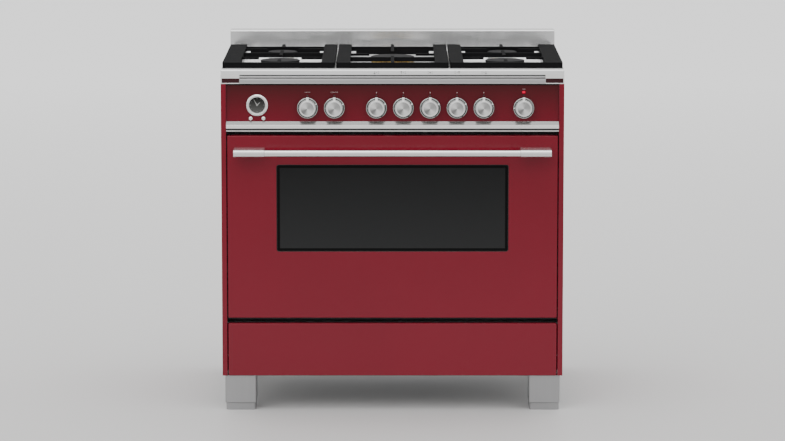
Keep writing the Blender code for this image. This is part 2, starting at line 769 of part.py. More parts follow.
def make_rack(back):
    """A wire rack on one pair of ledges: a frame, bars from front to back and a raised stop at the rear."""
    half = CAVITY_WIDTH / 2 - 0.002
    low = rack_ledges()[RACK_LEVEL - 1] + REST_GAP
    high = low + RACK_WIRE
    near = FLANGE_Y + 0.012
    far = back - FAN_COVER_DEPTH - 0.004
    solids = []
    for side in (-1, 1):
        edge = sorted((side * half, side * (half - RACK_WIRE)))
        solids.append((edge, (near, far), (low, high)))
    for start in (near, (near + far) / 2 - RACK_WIRE, far - RACK_WIRE):
        solids.append(((-half, half), (start, start + RACK_WIRE), (low, high)))
    solids.append(((-half, half), (far - RACK_WIRE, far), (low, high + RACK_STOP)))
    step = (2 * half - RACK_WIRE) / (RACK_BARS + 1)
    for i in range(RACK_BARS):
        left = -half + step * (i + 1)
        solids.append(((left, left + RACK_WIRE), (near, far), (low, high)))
    finish_object("oven_rack", blocks(solids), STEEL)


def make_trim():
    """The steel rail under the control panel: lip, groove, face and a slope up to the panel."""
    half = HALF - STRIP_WIDTH - REST_GAP
    groove = TRIM_Z + TRIM_LIP
    face = groove + TRIM_GROOVE
    slope = face + TRIM_FACE
    top = PANEL_Z - REST_GAP
    rear = FRONT + PANEL_DEPTH
    outline = (
        (rear, TRIM_Z),
        (FRONT, TRIM_Z),
        (FRONT, groove),
        (FRONT + 0.005, groove),
        (FRONT + 0.005, face),
        (FRONT - 0.001, face),
        (FRONT - 0.001, slope),
        (PANEL_FACE - 0.0005, top),
        (rear, top),
    )
    finish_object("panel_trim", prism("X", outline, -half, half), STEEL)


def make_control_panel():
    """The enamelled pan that carries the clock and knobs, with its round holes."""
    half = HALF - STRIP_WIDTH - REST_GAP
    middle = PANEL_Z + PANEL_HEIGHT / 2
    outside = (0, middle, half, PANEL_HEIGHT / 2, 0.002)
    inside = (0, middle, half - SKIN, PANEL_HEIGHT / 2 - SKIN, 0.001)
    rear = PANEL_FACE + PANEL_DEPTH
    sections = ((*outside, PANEL_FACE), (*outside, rear), (*inside, rear), (*inside, PANEL_FACE + SKIN))
    panel = finish_object("control_panel", layers("Y", sections), RED_ENAMEL)
    places = control_places()
    knobs = [(x, KNOB_Z) for x in places[1:]]
    start, end = PANEL_FACE - CUT_REACH, PANEL_FACE + CUT_REACH
    radius = STEM_RADIUS + SHAFT_PLAY + SLEEVE_WALL + 2 * SHAFT_PLAY
    drill(panel, "control_panel_knob_holes", "Y", knobs, radius, start, end)
    clock = ((places[0], CLOCK_Z),)
    drill(panel, "control_panel_clock_hole", "Y", clock, CLOCK_BARREL + SHAFT_PLAY, start, end)
    buttons = [(x, PANEL_Z + BUTTON_RISE) for x in button_places()]
    drill(panel, "control_panel_button_holes", "Y", buttons, BUTTON_RADIUS - 0.001, start, end)


def button_places():
    """The x of the two clock buttons."""
    middle = control_places()[0]
    return (middle - BUTTON_SPACING / 2, middle + BUTTON_SPACING / 2)


def make_clock():
    """The analogue clock: case with dial, two hands on one centre line and two setting buttons."""
    x = control_places()[0]
    centre = (x, CLOCK_Z)
    dial = PANEL_FACE + 0.001
    profile = (
        (CLOCK_BARREL, PANEL_FACE + 0.018),
        (CLOCK_BARREL, PANEL_FACE - REST_GAP),
        (BEZEL_RADIUS, PANEL_FACE - REST_GAP),
        (BEZEL_RADIUS, PANEL_FACE - 0.003),
        (BEZEL_RADIUS - 0.003, PANEL_FACE - 0.0055),
        (DIAL_RADIUS + 0.001, PANEL_FACE - 0.0055),
        (DIAL_RADIUS, PANEL_FACE - 0.0045),
        (DIAL_RADIUS, dial),
    )
    finish_object("clock_case", turned("Y", centre, profile, 32), STEEL, smooth=True)
    hands = (
        ("clock_hour_hand", HOUR_HAND, 0.0019, HOUR_ANGLE, dial - REST_GAP),
        ("clock_minute_hand", MINUTE_HAND, 0.0014, MINUTE_ANGLE, dial - 3 * REST_GAP - 0.0006),
    )
    for name, length, width, angle, rear in hands:
        outline = hand_outline(centre, length, width, angle)
        finish_object(name, prism("Y", outline, rear - 0.0008, rear), WHITE, (x, rear, CLOCK_Z))
    for name, button_x in zip(("clock_button_left", "clock_button_right"), button_places()):
        shaft = BUTTON_RADIUS - 0.001 - SHAFT_PLAY
        middle = (button_x, PANEL_Z + BUTTON_RISE)
        back = PANEL_FACE + SKIN + 0.006
        flange = PANEL_FACE - 0.0025
        profile = (
            (shaft, back),
            (shaft, flange),
            (BUTTON_RADIUS, flange),
            (BUTTON_RADIUS, flange - BUTTON_REACH + 0.001),
            (BUTTON_RADIUS - 0.001, flange - BUTTON_REACH),
        )
        shape = turned("Y", middle, profile, 24)
        finish_object(name, shape, STEEL, (button_x, flange, middle[1]), smooth=True)


def hand_outline(centre, length, width, angle):
    """A clock hand: a round hub and a tapered pointer, turned clockwise from twelve."""
    points = []
    for i in range(15):
        turn = math.radians(40 + 20 * i)
        points.append((HAND_HUB * math.sin(turn), HAND_HUB * math.cos(turn)))
    shoulder = length * HAND_SHOULDER
    points += [(-width / 2, shoulder), (-width / 4, length), (width / 4, length), (width / 2, shoulder)]
    turned_points = []
    for across, up in points:
        turned_across = across * math.cos(angle) + up * math.sin(angle)
        turned_up = up * math.cos(angle) - across * math.sin(angle)
        turned_points.append((centre[0] + turned_across, centre[1] + turned_up))
    return turned_points


def make_knobs():
    """Eight knobs: three oven knobs on their own shafts and five that slide on the burner valves' stems."""
    names = (
        "oven_function_knob",
        "oven_temperature_knob",
        "burner_knob_left_front",
        "burner_knob_left_rear",
        "burner_knob_centre",
        "burner_knob_right_rear",
        "burner_knob_right_front",
        "timer_knob",
    )
    skirt_rear = PANEL_FACE - SKIRT_STANDOFF
    skirt_front = skirt_rear - SKIRT_THICKNESS
    tip = skirt_rear - KNOB_LENGTH
    bore = STEM_RADIUS + SHAFT_PLAY
    sleeve = bore + SLEEVE_WALL
    sleeve_end = PANEL_FACE + 0.012
    for name, x in zip(names, control_places()[1:]):
        outside = (
            (sleeve, sleeve_end),
            (sleeve, skirt_rear),
            (SKIRT_RADIUS, skirt_rear),
            (SKIRT_RADIUS, skirt_front + 0.0015),
            (SKIRT_RADIUS - 0.0015, skirt_front),
            (CAP_RADIUS + 0.0005, skirt_front),
            (CAP_RADIUS, tip + 0.0015),
            (CAP_RADIUS - 0.0015, tip),
        )
        if name.startswith("burner"):
            inside = ((bore, skirt_rear - 0.006), (bore, sleeve_end))
            shape = turned("Y", (x, KNOB_Z), (*inside, *outside))
        else:
            shape = turned("Y", (x, KNOB_Z), ((sleeve, PANEL_FACE + 0.040), *outside[1:]))
        finish_object(name, shape, STEEL, (x, skirt_rear, KNOB_Z), smooth=True)
        if name.startswith("burner"):
            stem_name = name.replace("burner_knob", "valve_stem")
            stem_front = skirt_rear - 0.006 + KNOB_TRAVEL + 0.001
            stem_rear = FRONT + MANIFOLD_SETBACK - 0.001
            profile = ((STEM_RADIUS, stem_rear), (STEM_RADIUS, stem_front))
            stem = turned("Y", (x, KNOB_Z), profile, 20)
            finish_object(stem_name, stem, BRASS, (x, stem_rear, KNOB_Z), smooth=True)


def make_manifold():
    """The gas rail with a valve body for each burner, and the pipe back to the inlet fitting."""
    valves = control_places()[3:8]
    y = FRONT + MANIFOLD_SETBACK
    half = MANIFOLD_SIZE / 2
    left = valves[0] - 0.03
    solids = [((left, PIPE_X + half), (y, y + MANIFOLD_SIZE), (KNOB_Z - half, KNOB_Z + half))]
    for x in valves:
        across = (x - VALVE_WIDTH / 2, x + VALVE_WIDTH / 2)
        height = (KNOB_Z - VALVE_HEIGHT / 2, KNOB_Z + VALVE_HEIGHT / 2)
        solids.append((across, (y - VALVE_LENGTH, y + 0.004), height))
    rail = finish_object("gas_manifold", blocks(solids), ALUMINIUM)
    centre = (PIPE_X, KNOB_Z)
    fitting = BACK - REST_GAP - FITTING_LENGTH
    profile = (
        (PIPE_RADIUS - 0.001, y + 0.004),
        (PIPE_RADIUS - 0.001, y + 0.020),
        (PIPE_RADIUS, y + 0.022),
        (PIPE_RADIUS, fitting),
        (FITTING_RADIUS, fitting),
        (FITTING_RADIUS, BACK - REST_GAP),
        (FITTING_BORE, BACK - REST_GAP),
        (FITTING_BORE, BACK - 0.030),
    )
    pipe = finish_object("gas_manifold_pipe", turned("Y", centre, profile, 24), ALUMINIUM)
    combine(rail, pipe, "UNION")
    centres = [(x, KNOB_Z) for x in valves]
    start = y - VALVE_LENGTH - CUT_REACH
    drill(rail, "valve_bores", "Y", centres, STEM_RADIUS + SHAFT_PLAY, start, y - REST_GAP)


def make_cooktop():
    """The pressed steel top: front nosing, flat rim and a shallow well, with a hole under each burner."""
    middle = (FRONT + BACK) / 2
    well_y = FRONT + WELL_FRONT + WELL_DEPTH_Y / 2
    outside = (0, middle, HALF, BODY_DEPTH / 2)
    inside = (0, middle, HALF - 0.002, BODY_DEPTH / 2 - 0.002)
    well = (0, well_y, HALF - WELL_MARGIN, WELL_DEPTH_Y / 2)
    under = (0, well_y, well[2] + 0.002, well[3] + 0.002)
    floor = (0, well_y, well[2] - 0.006, well[3] - 0.006)
    sections = (
        (*under, WELL_ROUND + 0.002, FLOOR_Z - 0.002),
        (*under, WELL_ROUND + 0.002, DECK_Z - 0.002),
        (*inside, EDGE_ROUND - 0.001, DECK_Z - 0.002),
        (*inside, EDGE_ROUND - 0.001, NOSING_Z),
        (*outside, EDGE_ROUND, NOSING_Z),
        (*outside, EDGE_ROUND, DECK_Z - 0.002),
        (0, middle, HALF - 0.002, BODY_DEPTH / 2 - 0.002, EDGE_ROUND, DECK_Z),
        (*well, WELL_ROUND, DECK_Z),
        (*floor, WELL_ROUND - 0.006, FLOOR_Z),
    )
    deck = finish_object("cooktop", layers("Z", sections), STEEL)
    centres = [centre for _, centre, _ in burner_places()]
    start, end = FLOOR_Z - CUT_REACH, FLOOR_Z + CUT_REACH
    drill(deck, "cooktop_burner_holes", "Z", centres, BURNER_STUB + SHAFT_PLAY, start, end)


def make_backguard():
    """The low box that stands along the back of the cooktop, open underneath."""
    y = BACK - BACKGUARD_DEPTH / 2
    half = BACKGUARD_DEPTH / 2
    low = DECK_Z + REST_GAP
    high = DECK_Z + BACKGUARD_HEIGHT
    sections = (
        (0, y, HALF - SKIN, half - SKIN, 0.001, high - SKIN),
        (0, y, HALF - SKIN, half - SKIN, 0.001, low),
        (0, y, HALF, half, 0.0025, low),
        (0, y, HALF, half, 0.0025, high - 0.0015),
        (0, y, HALF - 0.0015, half - 0.0015, 0.0025, high),
    )
    finish_object("backguard", layers("Z", sections), STEEL)


def make_burners():
    """Each burner's head, with a throat through the cooktop, and its loose cap."""
    for name, centre, radius in burner_places():
        low = FLOOR_Z + REST_GAP
        crown = DECK_Z + BURNER_CROWN
        neck = radius - BURNER_STEP
        profile = (
            (BURNER_STUB, FLOOR_Z - 0.020),
            (BURNER_STUB, low),
            (radius, low),
            (radius, low + 0.008),
            (neck, low + 0.011),
            (neck, crown),
        )
        finish = BRASS if name == "centre" else ALUMINIUM
        finish_object(f"burner_head_{name}", turned("Z", centre, profile), finish, smooth=True)
        cap = neck + BURNER_CAP_OVERHANG
        bottom = crown + REST_GAP
        top = bottom + BURNER_CAP_THICKNESS
        profile = ((cap, bottom), (cap, top - 0.002), (cap - 0.003, top))
        shape = turned("Z", centre, profile)
        finish_object(f"burner_cap_{name}", shape, BLACK_ENAMEL, (*centre, bottom), smooth=True)


def finger_reach(radius):
    """How near a grate's fingers come to a burner's centre line."""
    return radius - BURNER_STEP + BURNER_CAP_OVERHANG + FINGER_CLEARANCE


def fingers(left, right, stops):
    """Bars in line with the burners: a row from side to side at each one, and runs from front to back."""
    x = (left + right) / 2
    half = FINGER_WIDTH / 2
    bars = []
    start = FRONT + GRATE_FRONT
    for centre, radius in stops:
        reach = finger_reach(radius)
        bars.append(((left, x - reach), (centre - half, centre + half)))
        bars.append(((x + reach, right), (centre - half, centre + half)))
        bars.append(((x - half, x + half), (start, centre - reach)))
        start = centre + reach
    bars.append(((x - half, x + half), (start, FRONT + GRATE_FRONT + GRATE_LENGTH)))
    return bars


def make_grates():
    """Three cast-iron grates: wide side plates, cross bars, fingers to the burners and four corner feet."""
    width = grate_width()
    low = GRATE_TOP - GRATE_PLATE
    near = FRONT + GRATE_FRONT
    far = near + GRATE_LENGTH
    middle_y = FRONT + (BURNER_FRONT + BURNER_REAR) / 2
    rear_y = far - REAR_BAR_INSET
    pair = ((FRONT + BURNER_FRONT, FRONT_BURNER_RADIUS), (FRONT + BURNER_REAR, REAR_BURNER_RADIUS))
    single = ((FRONT + BURNER_CENTRE, CENTRE_BURNER_RADIUS),)
    for name, index in zip(("grate_left", "grate_centre", "grate_right"), GRATE_CENTRES):
        middle = index * (width + GRATE_GAP)
        left, right = middle - width / 2, middle + width / 2
        left_plate = OUTER_PLATE if index < 0 else INNER_PLATE
        right_plate = OUTER_PLATE if index > 0 else INNER_PLATE
        plan = [((left, left + left_plate), (near, far)), ((right - right_plate, right), (near, far))]
        rows = (FRONT + BURNER_FRONT, rear_y) if index == 0 else (middle_y, rear_y)
        plan += [((left, right), (row - GRATE_BAR / 2, row + GRATE_BAR / 2)) for row in rows]
        solids = [(across, along, (low, GRATE_TOP)) for across, along in plan]
        rib = (left + left_plate + REAR_RIB_INSET, right - right_plate - REAR_RIB_INSET)
        depth = (rear_y - GRATE_BAR / 2, rear_y + GRATE_BAR / 2)
        solids.append((rib, depth, (GRATE_TOP - REAR_RIB_HEIGHT, GRATE_TOP)))
        thin = fingers(left, right, single if index == 0 else pair)
        solids += [(across, along, (GRATE_TOP - FINGER_THICKNESS, GRATE_TOP)) for across, along in thin]
        solids.append(((left, right), (near, near + GRATE_BAR), (GRATE_TOP - FRONT_BAR_HEIGHT, GRATE_TOP)))
        for start, end in ((near, near + FOOT_LENGTH), (far - FOOT_LENGTH + 0.002, far)):
            for across in ((left, left + left_plate * FOOT_SHARE), (right - right_plate * FOOT_SHARE, right)):
                solids.append((across, (start, end), (DECK_Z + REST_GAP, GRATE_TOP)))
        finish_object(name, blocks(solids), IRON, (middle, (near + far) / 2, DECK_Z + REST_GAP))


def build():
    """Make the whole range."""
    clear_scene()
    door_axis = axis_empty("door_hinge_axis", (0, HINGE_Y, HINGE_Z))
    make_side_panels()
    make_back_panel()
    make_base_frame()
    make_legs()
    make_drawer()
    make_door(door_axis)
    make_handle(door_axis)
    make_hinge_arms()
    make_oven()
    make_trim()
    make_control_panel()
    make_clock()
    make_knobs()
    make_manifold()
    make_cooktop()
    make_backguard()
    make_burners()
    make_grates()


build()
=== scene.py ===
"""Looks of a freestanding gas range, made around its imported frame.

The frame holds the bodies, the joints and the plain solids. This script dresses them: it gives every
carried-over node a material, replaces the plain solids that show with finer surfaces in the same places, and
adds the small pieces that only matter to the eye. Everything is in metres, +Z up, with the front towards -Y.
"""

from __future__ import annotations

import json
import logging
import math
from dataclasses import dataclass
from enum import Enum
from typing import Sequence

import bmesh
import bpy
import numpy as np
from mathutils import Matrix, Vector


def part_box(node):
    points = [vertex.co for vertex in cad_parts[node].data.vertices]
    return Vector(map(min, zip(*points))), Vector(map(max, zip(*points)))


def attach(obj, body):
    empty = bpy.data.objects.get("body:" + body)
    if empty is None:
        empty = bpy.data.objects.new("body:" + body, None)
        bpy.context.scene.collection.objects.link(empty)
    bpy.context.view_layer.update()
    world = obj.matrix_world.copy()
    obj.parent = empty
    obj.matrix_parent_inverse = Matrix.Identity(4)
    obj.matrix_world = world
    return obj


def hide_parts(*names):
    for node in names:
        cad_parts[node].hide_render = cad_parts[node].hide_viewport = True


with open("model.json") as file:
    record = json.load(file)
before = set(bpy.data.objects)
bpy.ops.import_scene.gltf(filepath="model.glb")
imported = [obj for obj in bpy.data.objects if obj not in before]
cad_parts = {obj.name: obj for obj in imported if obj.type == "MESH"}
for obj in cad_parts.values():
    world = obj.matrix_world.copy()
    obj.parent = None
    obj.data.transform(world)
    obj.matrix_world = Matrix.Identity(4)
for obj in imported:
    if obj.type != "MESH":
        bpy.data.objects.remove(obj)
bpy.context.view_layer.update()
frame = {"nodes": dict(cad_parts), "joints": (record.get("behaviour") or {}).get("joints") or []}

Array = np.ndarray
Colour = tuple[float, float, float]
LOG = logging.getLogger("gas_range")
TAU = 2 * math.pi
PRINT = 0.00012  # how far print stands over the surface that carries it


# ----------------------------------------------------------------------------
# Shapes
# ----------------------------------------------------------------------------


class Axis(Enum):
    """The direction that an outline is carried along or turned about."""

    X = 0
    Y = 1
    Z = 2

    def place(self, across: Array, up: Array, along: Array) -> Array:
        """Stack plane coordinates and the place along this axis into points.

        Args:
            across: first coordinate in the plane: y for X, x for Y and Z.
            up: second coordinate in the plane: z for X and Y, y for Z.
            along: place along the axis.

        Returns:
            Points with x, y and z in the last dimension.
        """
        across, up, along = np.broadcast_arrays(across, up, along)
        order = {Axis.X: (along, across, up), Axis.Y: (across, along, up), Axis.Z: (across, up, along)}
        return np.stack(order[self], axis=-1)


class Shape:
    """Points and faces gathered from several surfaces before they become one mesh."""

    def __init__(self) -> None:
        """Start with nothing."""
        self.points: list[Array] = []
        self.faces: list[list[int]] = []
        self.count = 0

    def grid(self, points: Array, wrap_rows: bool = False, wrap_columns: bool = False) -> Shape:
        """Add a surface given as a grid: point (i, j) joins its neighbours (i + 1, j) and (i, j + 1).

        Args:
            points: rows x columns x 3.
            wrap_rows: join the last row to the first.
            wrap_columns: join the last column to the first.

        Returns:
            This shape.
        """
        rows, columns = points.shape[:2]
        i = np.arange(rows if wrap_rows else rows - 1)[:, None]
        j = np.arange(columns if wrap_columns else columns - 1)[None, :]
        next_i = (i + 1) % rows
        next_j = (j + 1) % columns
        corners = (i * columns + j, i * columns + next_j, next_i * columns + next_j, next_i * columns + j)
        quads = np.stack(corners, axis=-1).reshape(-1, 4) + self.count
        self.faces += quads.tolist()
        self.points.append(points.reshape(-1, 3))
        self.count += rows * columns
        return self

    def loft(self, loops: Array, capped: bool = True, ring: bool = False) -> Shape:
        """Add a tube through closed loops, with flat ends or closed on itself.

        Args:
            loops: loops x points x 3.
            capped: fill the first and the last loop.
            ring: join the last loop to the first.

        Returns:
            This shape.
        """
        start = self.count
        self.grid(loops, wrap_rows=ring, wrap_columns=True)
        if capped and not ring:
            size = loops.shape[1]
            last = start + (loops.shape[0] - 1) * size
            self.faces.append(list(range(start, start + size)))
            self.faces.append(list(range(last + size - 1, last - 1, -1)))
        return self

    def mesh(self, name: str) -> bpy.types.Mesh:
        """Make the mesh, with its doubles merged and its faces pointing out."""
        made = bpy.data.meshes.new(name)
        made.from_pydata(np.concatenate(self.points).tolist(), [], self.faces)
        work = bmesh.new()
        work.from_mesh(made)
        bmesh.ops.remove_doubles(work, verts=work.verts, dist=1e-6)
        bmesh.ops.recalc_face_normals(work, faces=work.faces)
        work.to_mesh(made)
        work.free()
        return made


def rounded_path(corners: Array | Sequence, radii: Array | float, steps: int = 6) -> Array:
    """A closed outline whose corners are arcs.

    At a corner whose sides part by twice the angle a, an arc of radius r starts r / tan(a) before it, and its
    centre stands r / sin(a) from it on the line between the sides.

    Args:
        corners: the outline's corners, in order.
        radii: one radius for all corners, or one for each.
        steps: points on each arc, less one.

    Returns:
        Points x 2.
    """
    points = np.asarray(corners, float)
    values = np.broadcast_to(np.asarray(radii, float), (len(points),))
    found = []
    for i, radius in enumerate(values):
        before = points[i - 1] - points[i]
        after = points[(i + 1) % len(points)] - points[i]
        before = before / np.linalg.norm(before)
        after = after / np.linalg.norm(after)
        half = math.acos(max(-1.0, min(1.0, float(before @ after)))) / 2
        if radius < 1e-7 or half > math.pi / 2 - 1e-3:
            found.append(points[i : i + 1])
            continue
        reach = radius / math.tan(half)
        middle = (before + after) / np.linalg.norm(before + after)
        centre = points[i] + middle * radius / math.sin(half)
        start = points[i] + before * reach - centre
        end = points[i] + after * reach - centre
        first = math.atan2(start[1], start[0])
        sweep = (math.atan2(end[1], end[0]) - first + math.pi) % TAU - math.pi
        angle = first + sweep * np.linspace(0, 1, steps + 1)
        found.append(centre + radius * np.stack([np.cos(angle), np.sin(angle)], axis=-1))
    return np.concatenate(found)


def rounded_rectangle(half_across: float, half_up: float, radius: float, steps: int = 8) -> Array:
    """A rectangle's outline about zero, with quarter circles at its corners, anticlockwise."""
    quarter = np.arange(4)[:, None]
    angle = (quarter + np.linspace(0, 1, steps + 1)[None, :]) * math.pi / 2
    side = np.where((quarter == 0) | (quarter == 3), 1, -1)
    level = np.where(quarter < 2, 1, -1)
    across = side * (half_across - radius) + radius * np.cos(angle)
    up = level * (half_up - radius) + radius * np.sin(angle)
    return np.stack([across, up], axis=-1).reshape(-1, 2)


def turned(axis: Axis, centre: Sequence[float], profile: Array, steps: int = 64) -> Array:
    """Loops of a turned piece: each point (radius, along) of the profile goes round as a circle.

    Args:
        axis: the centre line's direction.
        centre: where the line crosses the plane at right angles to it.
        profile: points x 2, radius and place along the axis.
        steps: points on each circle.

    Returns:
        Loops x points x 3.
    """
    profile = np.asarray(profile, float)
    angle = np.linspace(0, TAU, steps, endpoint=False)[None, :]
    radius = profile[:, 0][:, None]
    across = centre[0] + radius * np.cos(angle)
    up = centre[1] + radius * np.sin(angle)
    return axis.place(across, up, profile[:, 1][:, None])


def straight(axis: Axis, outline: Array, start: float, end: float, soften: float = 0.0) -> Array:
    """Loops of an outline carried straight along an axis, drawn in a little at both ends.

    Args:
        axis: the direction it is carried along.
        outline: points x 2 in the plane at right angles.
        start: place of the first end.
        end: place of the last end.
        soften: how much the ends are drawn in, along and across, as a quarter round of three steps.

    Returns:
        Loops x points x 3.
    """
    middle = outline.mean(axis=0)
    reach = np.abs(outline - middle).max()
    way = 1 if end > start else -1
    if soften:
        turn = np.linspace(0, math.pi / 2, 4)
        near, far = soften * (1 - np.cos(turn)), soften * (1 - np.sin(turn))
        along = np.concatenate([start + way * near, end - way * far])
        inset = np.concatenate([far, near])
    else:
        along = np.array([start, end])
        inset = np.zeros(2)
    scale = 1 - inset[:, None, None] / reach
    loops = middle + (outline[None] - middle) * scale
    return axis.place(loops[..., 0], loops[..., 1], along[:, None])


def arc_profile(corners: Array | Sequence, radius: float, steps: int = 5) -> Array:
    """An open profile with round corners: the two end points stay, and each corner between them is an arc."""
    values = np.full(len(corners), radius)
    values[[0, -1]] = 0
    return rounded_path(corners, values, steps)


# ----------------------------------------------------------------------------
# Shader maths
# ----------------------------------------------------------------------------


class Number:
    """A number on a socket. An expression on numbers adds its Math nodes."""

    def __init__(self, bench: Bench, socket: bpy.types.NodeSocket) -> None:
        """Wrap a socket of a bench's material."""
        self.bench = bench
        self.socket = socket

    def maths(self, operation: str, left: Number | float, right: Number | float = 0.0) -> Number:
        """Add one Math node and return its result."""
        made = self.bench.node("ShaderNodeMath", {"operation": operation}, {0: left, 1: right})
        return Number(self.bench, made.outputs[0])

    def __add__(self, other: Number | float) -> Number:
        """Sum."""
        return self.maths("ADD", self, other)

    def __sub__(self, other: Number | float) -> Number:
        """Difference."""
        return self.maths("SUBTRACT", self, other)

    def __rsub__(self, other: Number | float) -> Number:
        """Difference from a plain number."""
        return self.maths("SUBTRACT", other, self)

    def __mul__(self, other: Number | float) -> Number:
        """Product."""
        return self.maths("MULTIPLY", self, other)

    def __pow__(self, other: float) -> Number:
        """Power."""
        return self.maths("POWER", self, other)


class Bench:
    """One material's nodes: makes any node, and reads places on the piece."""

    def __init__(self, name: str) -> None:
        """Start a material with its Principled shader."""
        self.material = bpy.data.materials.new(name)
        self.material.use_nodes = True
        self.tree = self.material.node_tree
        self.shader = self.tree.nodes["Principled BSDF"]
        self.place = self.node("ShaderNodeTexCoord").outputs["Object"]

    def node(self, kind: str, settings: dict | None = None, inputs: dict | None = None) -> bpy.types.Node:
        """Add a node.

        Args:
            kind: the node's type.
            settings: its own settings, set first.
            inputs: values or links by socket name or number.

        Returns:
            The node.
        """
        made = self.tree.nodes.new(kind)
        for key, value in (settings or {}).items():
            setattr(made, key, value)
        for key, value in (inputs or {}).items():
            self.feed(made.inputs[key], value)
        return made

    @staticmethod
    def set_stops(ramp: bpy.types.ColorRamp, stops: Sequence[tuple[float, Colour]]) -> None:
        """Give a ramp its stops."""
        while len(ramp.elements) < len(stops):
            ramp.elements.new(1.0)
        for element, (position, colour) in zip(ramp.elements, stops):
            element.position = position
            element.color = (*colour, 1.0)

    def feed(self, socket: bpy.types.NodeSocket, value: object) -> None:
        """Link a socket or a number to an input, or set its value."""
        if isinstance(value, Number):
            self.tree.links.new(value.socket, socket)
        elif isinstance(value, bpy.types.NodeSocket):
            self.tree.links.new(value, socket)
        elif isinstance(value, tuple) and len(value) == 3 and socket.type == "RGBA":
            socket.default_value = (*value, 1.0)
        else:
            socket.default_value = value

    def stretched(self, scale: Sequence[float]) -> bpy.types.NodeSocket:
        """Places on the piece, scaled along each axis."""
        return self.node("ShaderNodeMapping", {}, {"Vector": self.place, "Scale": scale}).outputs[0]

    def noise(
        self, scale: float, detail: float = 2.0, along: Sequence[float] = (1, 1, 1), rough: float = 0.5
    ) -> Number:
        """Cloudy noise between nought and one."""
        inputs = {"Vector": self.stretched(along), "Scale": scale, "Detail": detail, "Roughness": rough}
        return Number(self, self.node("ShaderNodeTexNoise", {}, inputs).outputs[0])

    def cells(self, scale: float) -> bpy.types.Node:
        """Voronoi cells."""
        return self.node("ShaderNodeTexVoronoi", {}, {"Vector": self.place, "Scale": scale})

    def coordinates(self) -> tuple[Number, Number, Number]:
        """The x, y and z of the place on the piece."""
        parts = self.node("ShaderNodeSeparateXYZ", {}, {0: self.place}).outputs
        return tuple(Number(self, part) for part in parts)

    def mixed(self, amount: Number, low: Colour, high: Colour) -> bpy.types.NodeSocket:
        """A colour between two."""
        node = self.node("ShaderNodeMix", {"data_type": "RGBA"}, {0: amount, 6: low, 7: high})
        return node.outputs[2]

    def spread(self, value: Number, low: float, high: float) -> Number:
        """Carry nought to one onto another range."""
        return value * (high - low) + low

    def band(self, value: Number, low: float, high: float) -> Number:
        """Nought below one value, one above another, and a straight rise between."""
        inputs = {"Value": value, "From Min": low, "From Max": high}
        return Number(self, self.node("ShaderNodeMapRange", {"clamp": True}, inputs).outputs[0])

    def bump(self, height: Number, strength: float, distance: float) -> None:
        """Make the surface's normal follow a height."""
        inputs = {"Height": height, "Strength": strength, "Distance": distance}
        self.feed(self.shader.inputs["Normal"], self.node("ShaderNodeBump", {}, inputs).outputs[0])

    def set(self, **values: object) -> None:
        """Set sockets of the shader by their names, with an underscore for a space."""
        for name, value in values.items():
            self.feed(self.shader.inputs[name.replace("_", " ")], value)


    def glaze(self, roughness: float, peel: float) -> None:
        """Give the surface a fired glaze: its gloss drifts slowly, over a faint orange peel."""
        self.set(Roughness=self.spread(self.noise(9.0, 4.0), roughness - 0.03, roughness + 0.05))
        self.bump(self.noise(55.0) + self.noise(240.0, 1.0) * 0.25, peel, 0.0006)


# ----------------------------------------------------------------------------
# Finishes
# ----------------------------------------------------------------------------


def toned(colour: Colour, factor: float) -> Colour:
    """A colour made darker or lighter, with no channel over one."""
    return tuple(min(1.0, channel * factor) for channel in colour)


@dataclass(frozen=True)
class Enamel:
    """Glossy fired enamel with a faint orange peel and a slow drift in its colour."""

    name: str
    colour: Colour
    deep: Colour
    roughness: float = 0.22
    coat: float = 0.04
    peel: float = 0.05
    shine: float = 0.38

    def build(self) -> bpy.types.Material:
        """Make the material."""
        bench = Bench(self.name)
        drift = bench.noise(2.2, 3.0)
        bench.set(
            Base_Color=bench.mixed(bench.band(drift, 0.3, 0.7), self.deep, self.colour),
            Specular_IOR_Level=self.shine,
            Coat_Weight=self.coat,
            Coat_Roughness=0.06,
        )
        bench.glaze(self.roughness, self.peel)
        return bench.material


@dataclass(frozen=True)
class Shaded:
    """A glossy coat whose colour changes from the foot of a part to its top: light and shade painted into the
    colour.
    """

    name: str
    foot: Colour
    top: Colour
    part: str = "control_panel"
    roughness: float = 0.2
    shine: float = 0.34

    def build(self) -> bpy.types.Material:
        """Make the material: the colour follows the share of the part's height, a painted gradient of light
        and shade.
        """
        low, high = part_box(self.part)
        bench = Bench(self.name)
        _, _, z = bench.coordinates()
        rise = bench.band(z + bench.noise(3.0, 2.0) * 0.012, low[2] + 0.004, high[2])
        bench.set(Base_Color=bench.mixed(rise, self.foot, self.top), Specular_IOR_Level=self.shine)
        bench.glaze(self.roughness, 0.05)
        return bench.material


@dataclass(frozen=True)
class Pale:
    """Floor paint: pale far behind the range, a little greyer about it as painted shade under and round the
    range, and darker a few metres in front as painted shade that the metal mirrors.
    """

    name: str
    front: Colour
    near: Colour
    far: Colour
    stops: tuple[float, float, float, float] = (-6.5, -1.3, -0.9, 8.0)

    def build(self) -> bpy.types.Material:
        """Make the material: the colour follows the place from front to back."""
        bench = Bench(self.name)
        _, y, _ = bench.coordinates()
        y = y + bench.noise(1.5, 2.0) * 0.2
        close = bench.mixed(bench.band(y, *self.stops[:2]), self.front, self.near)
        bench.set(Base_Color=bench.mixed(bench.band(y, *self.stops[2:]), close, self.far), Roughness=0.55)
        bench.bump(bench.noise(60.0), 0.03, 0.001)
        return bench.material


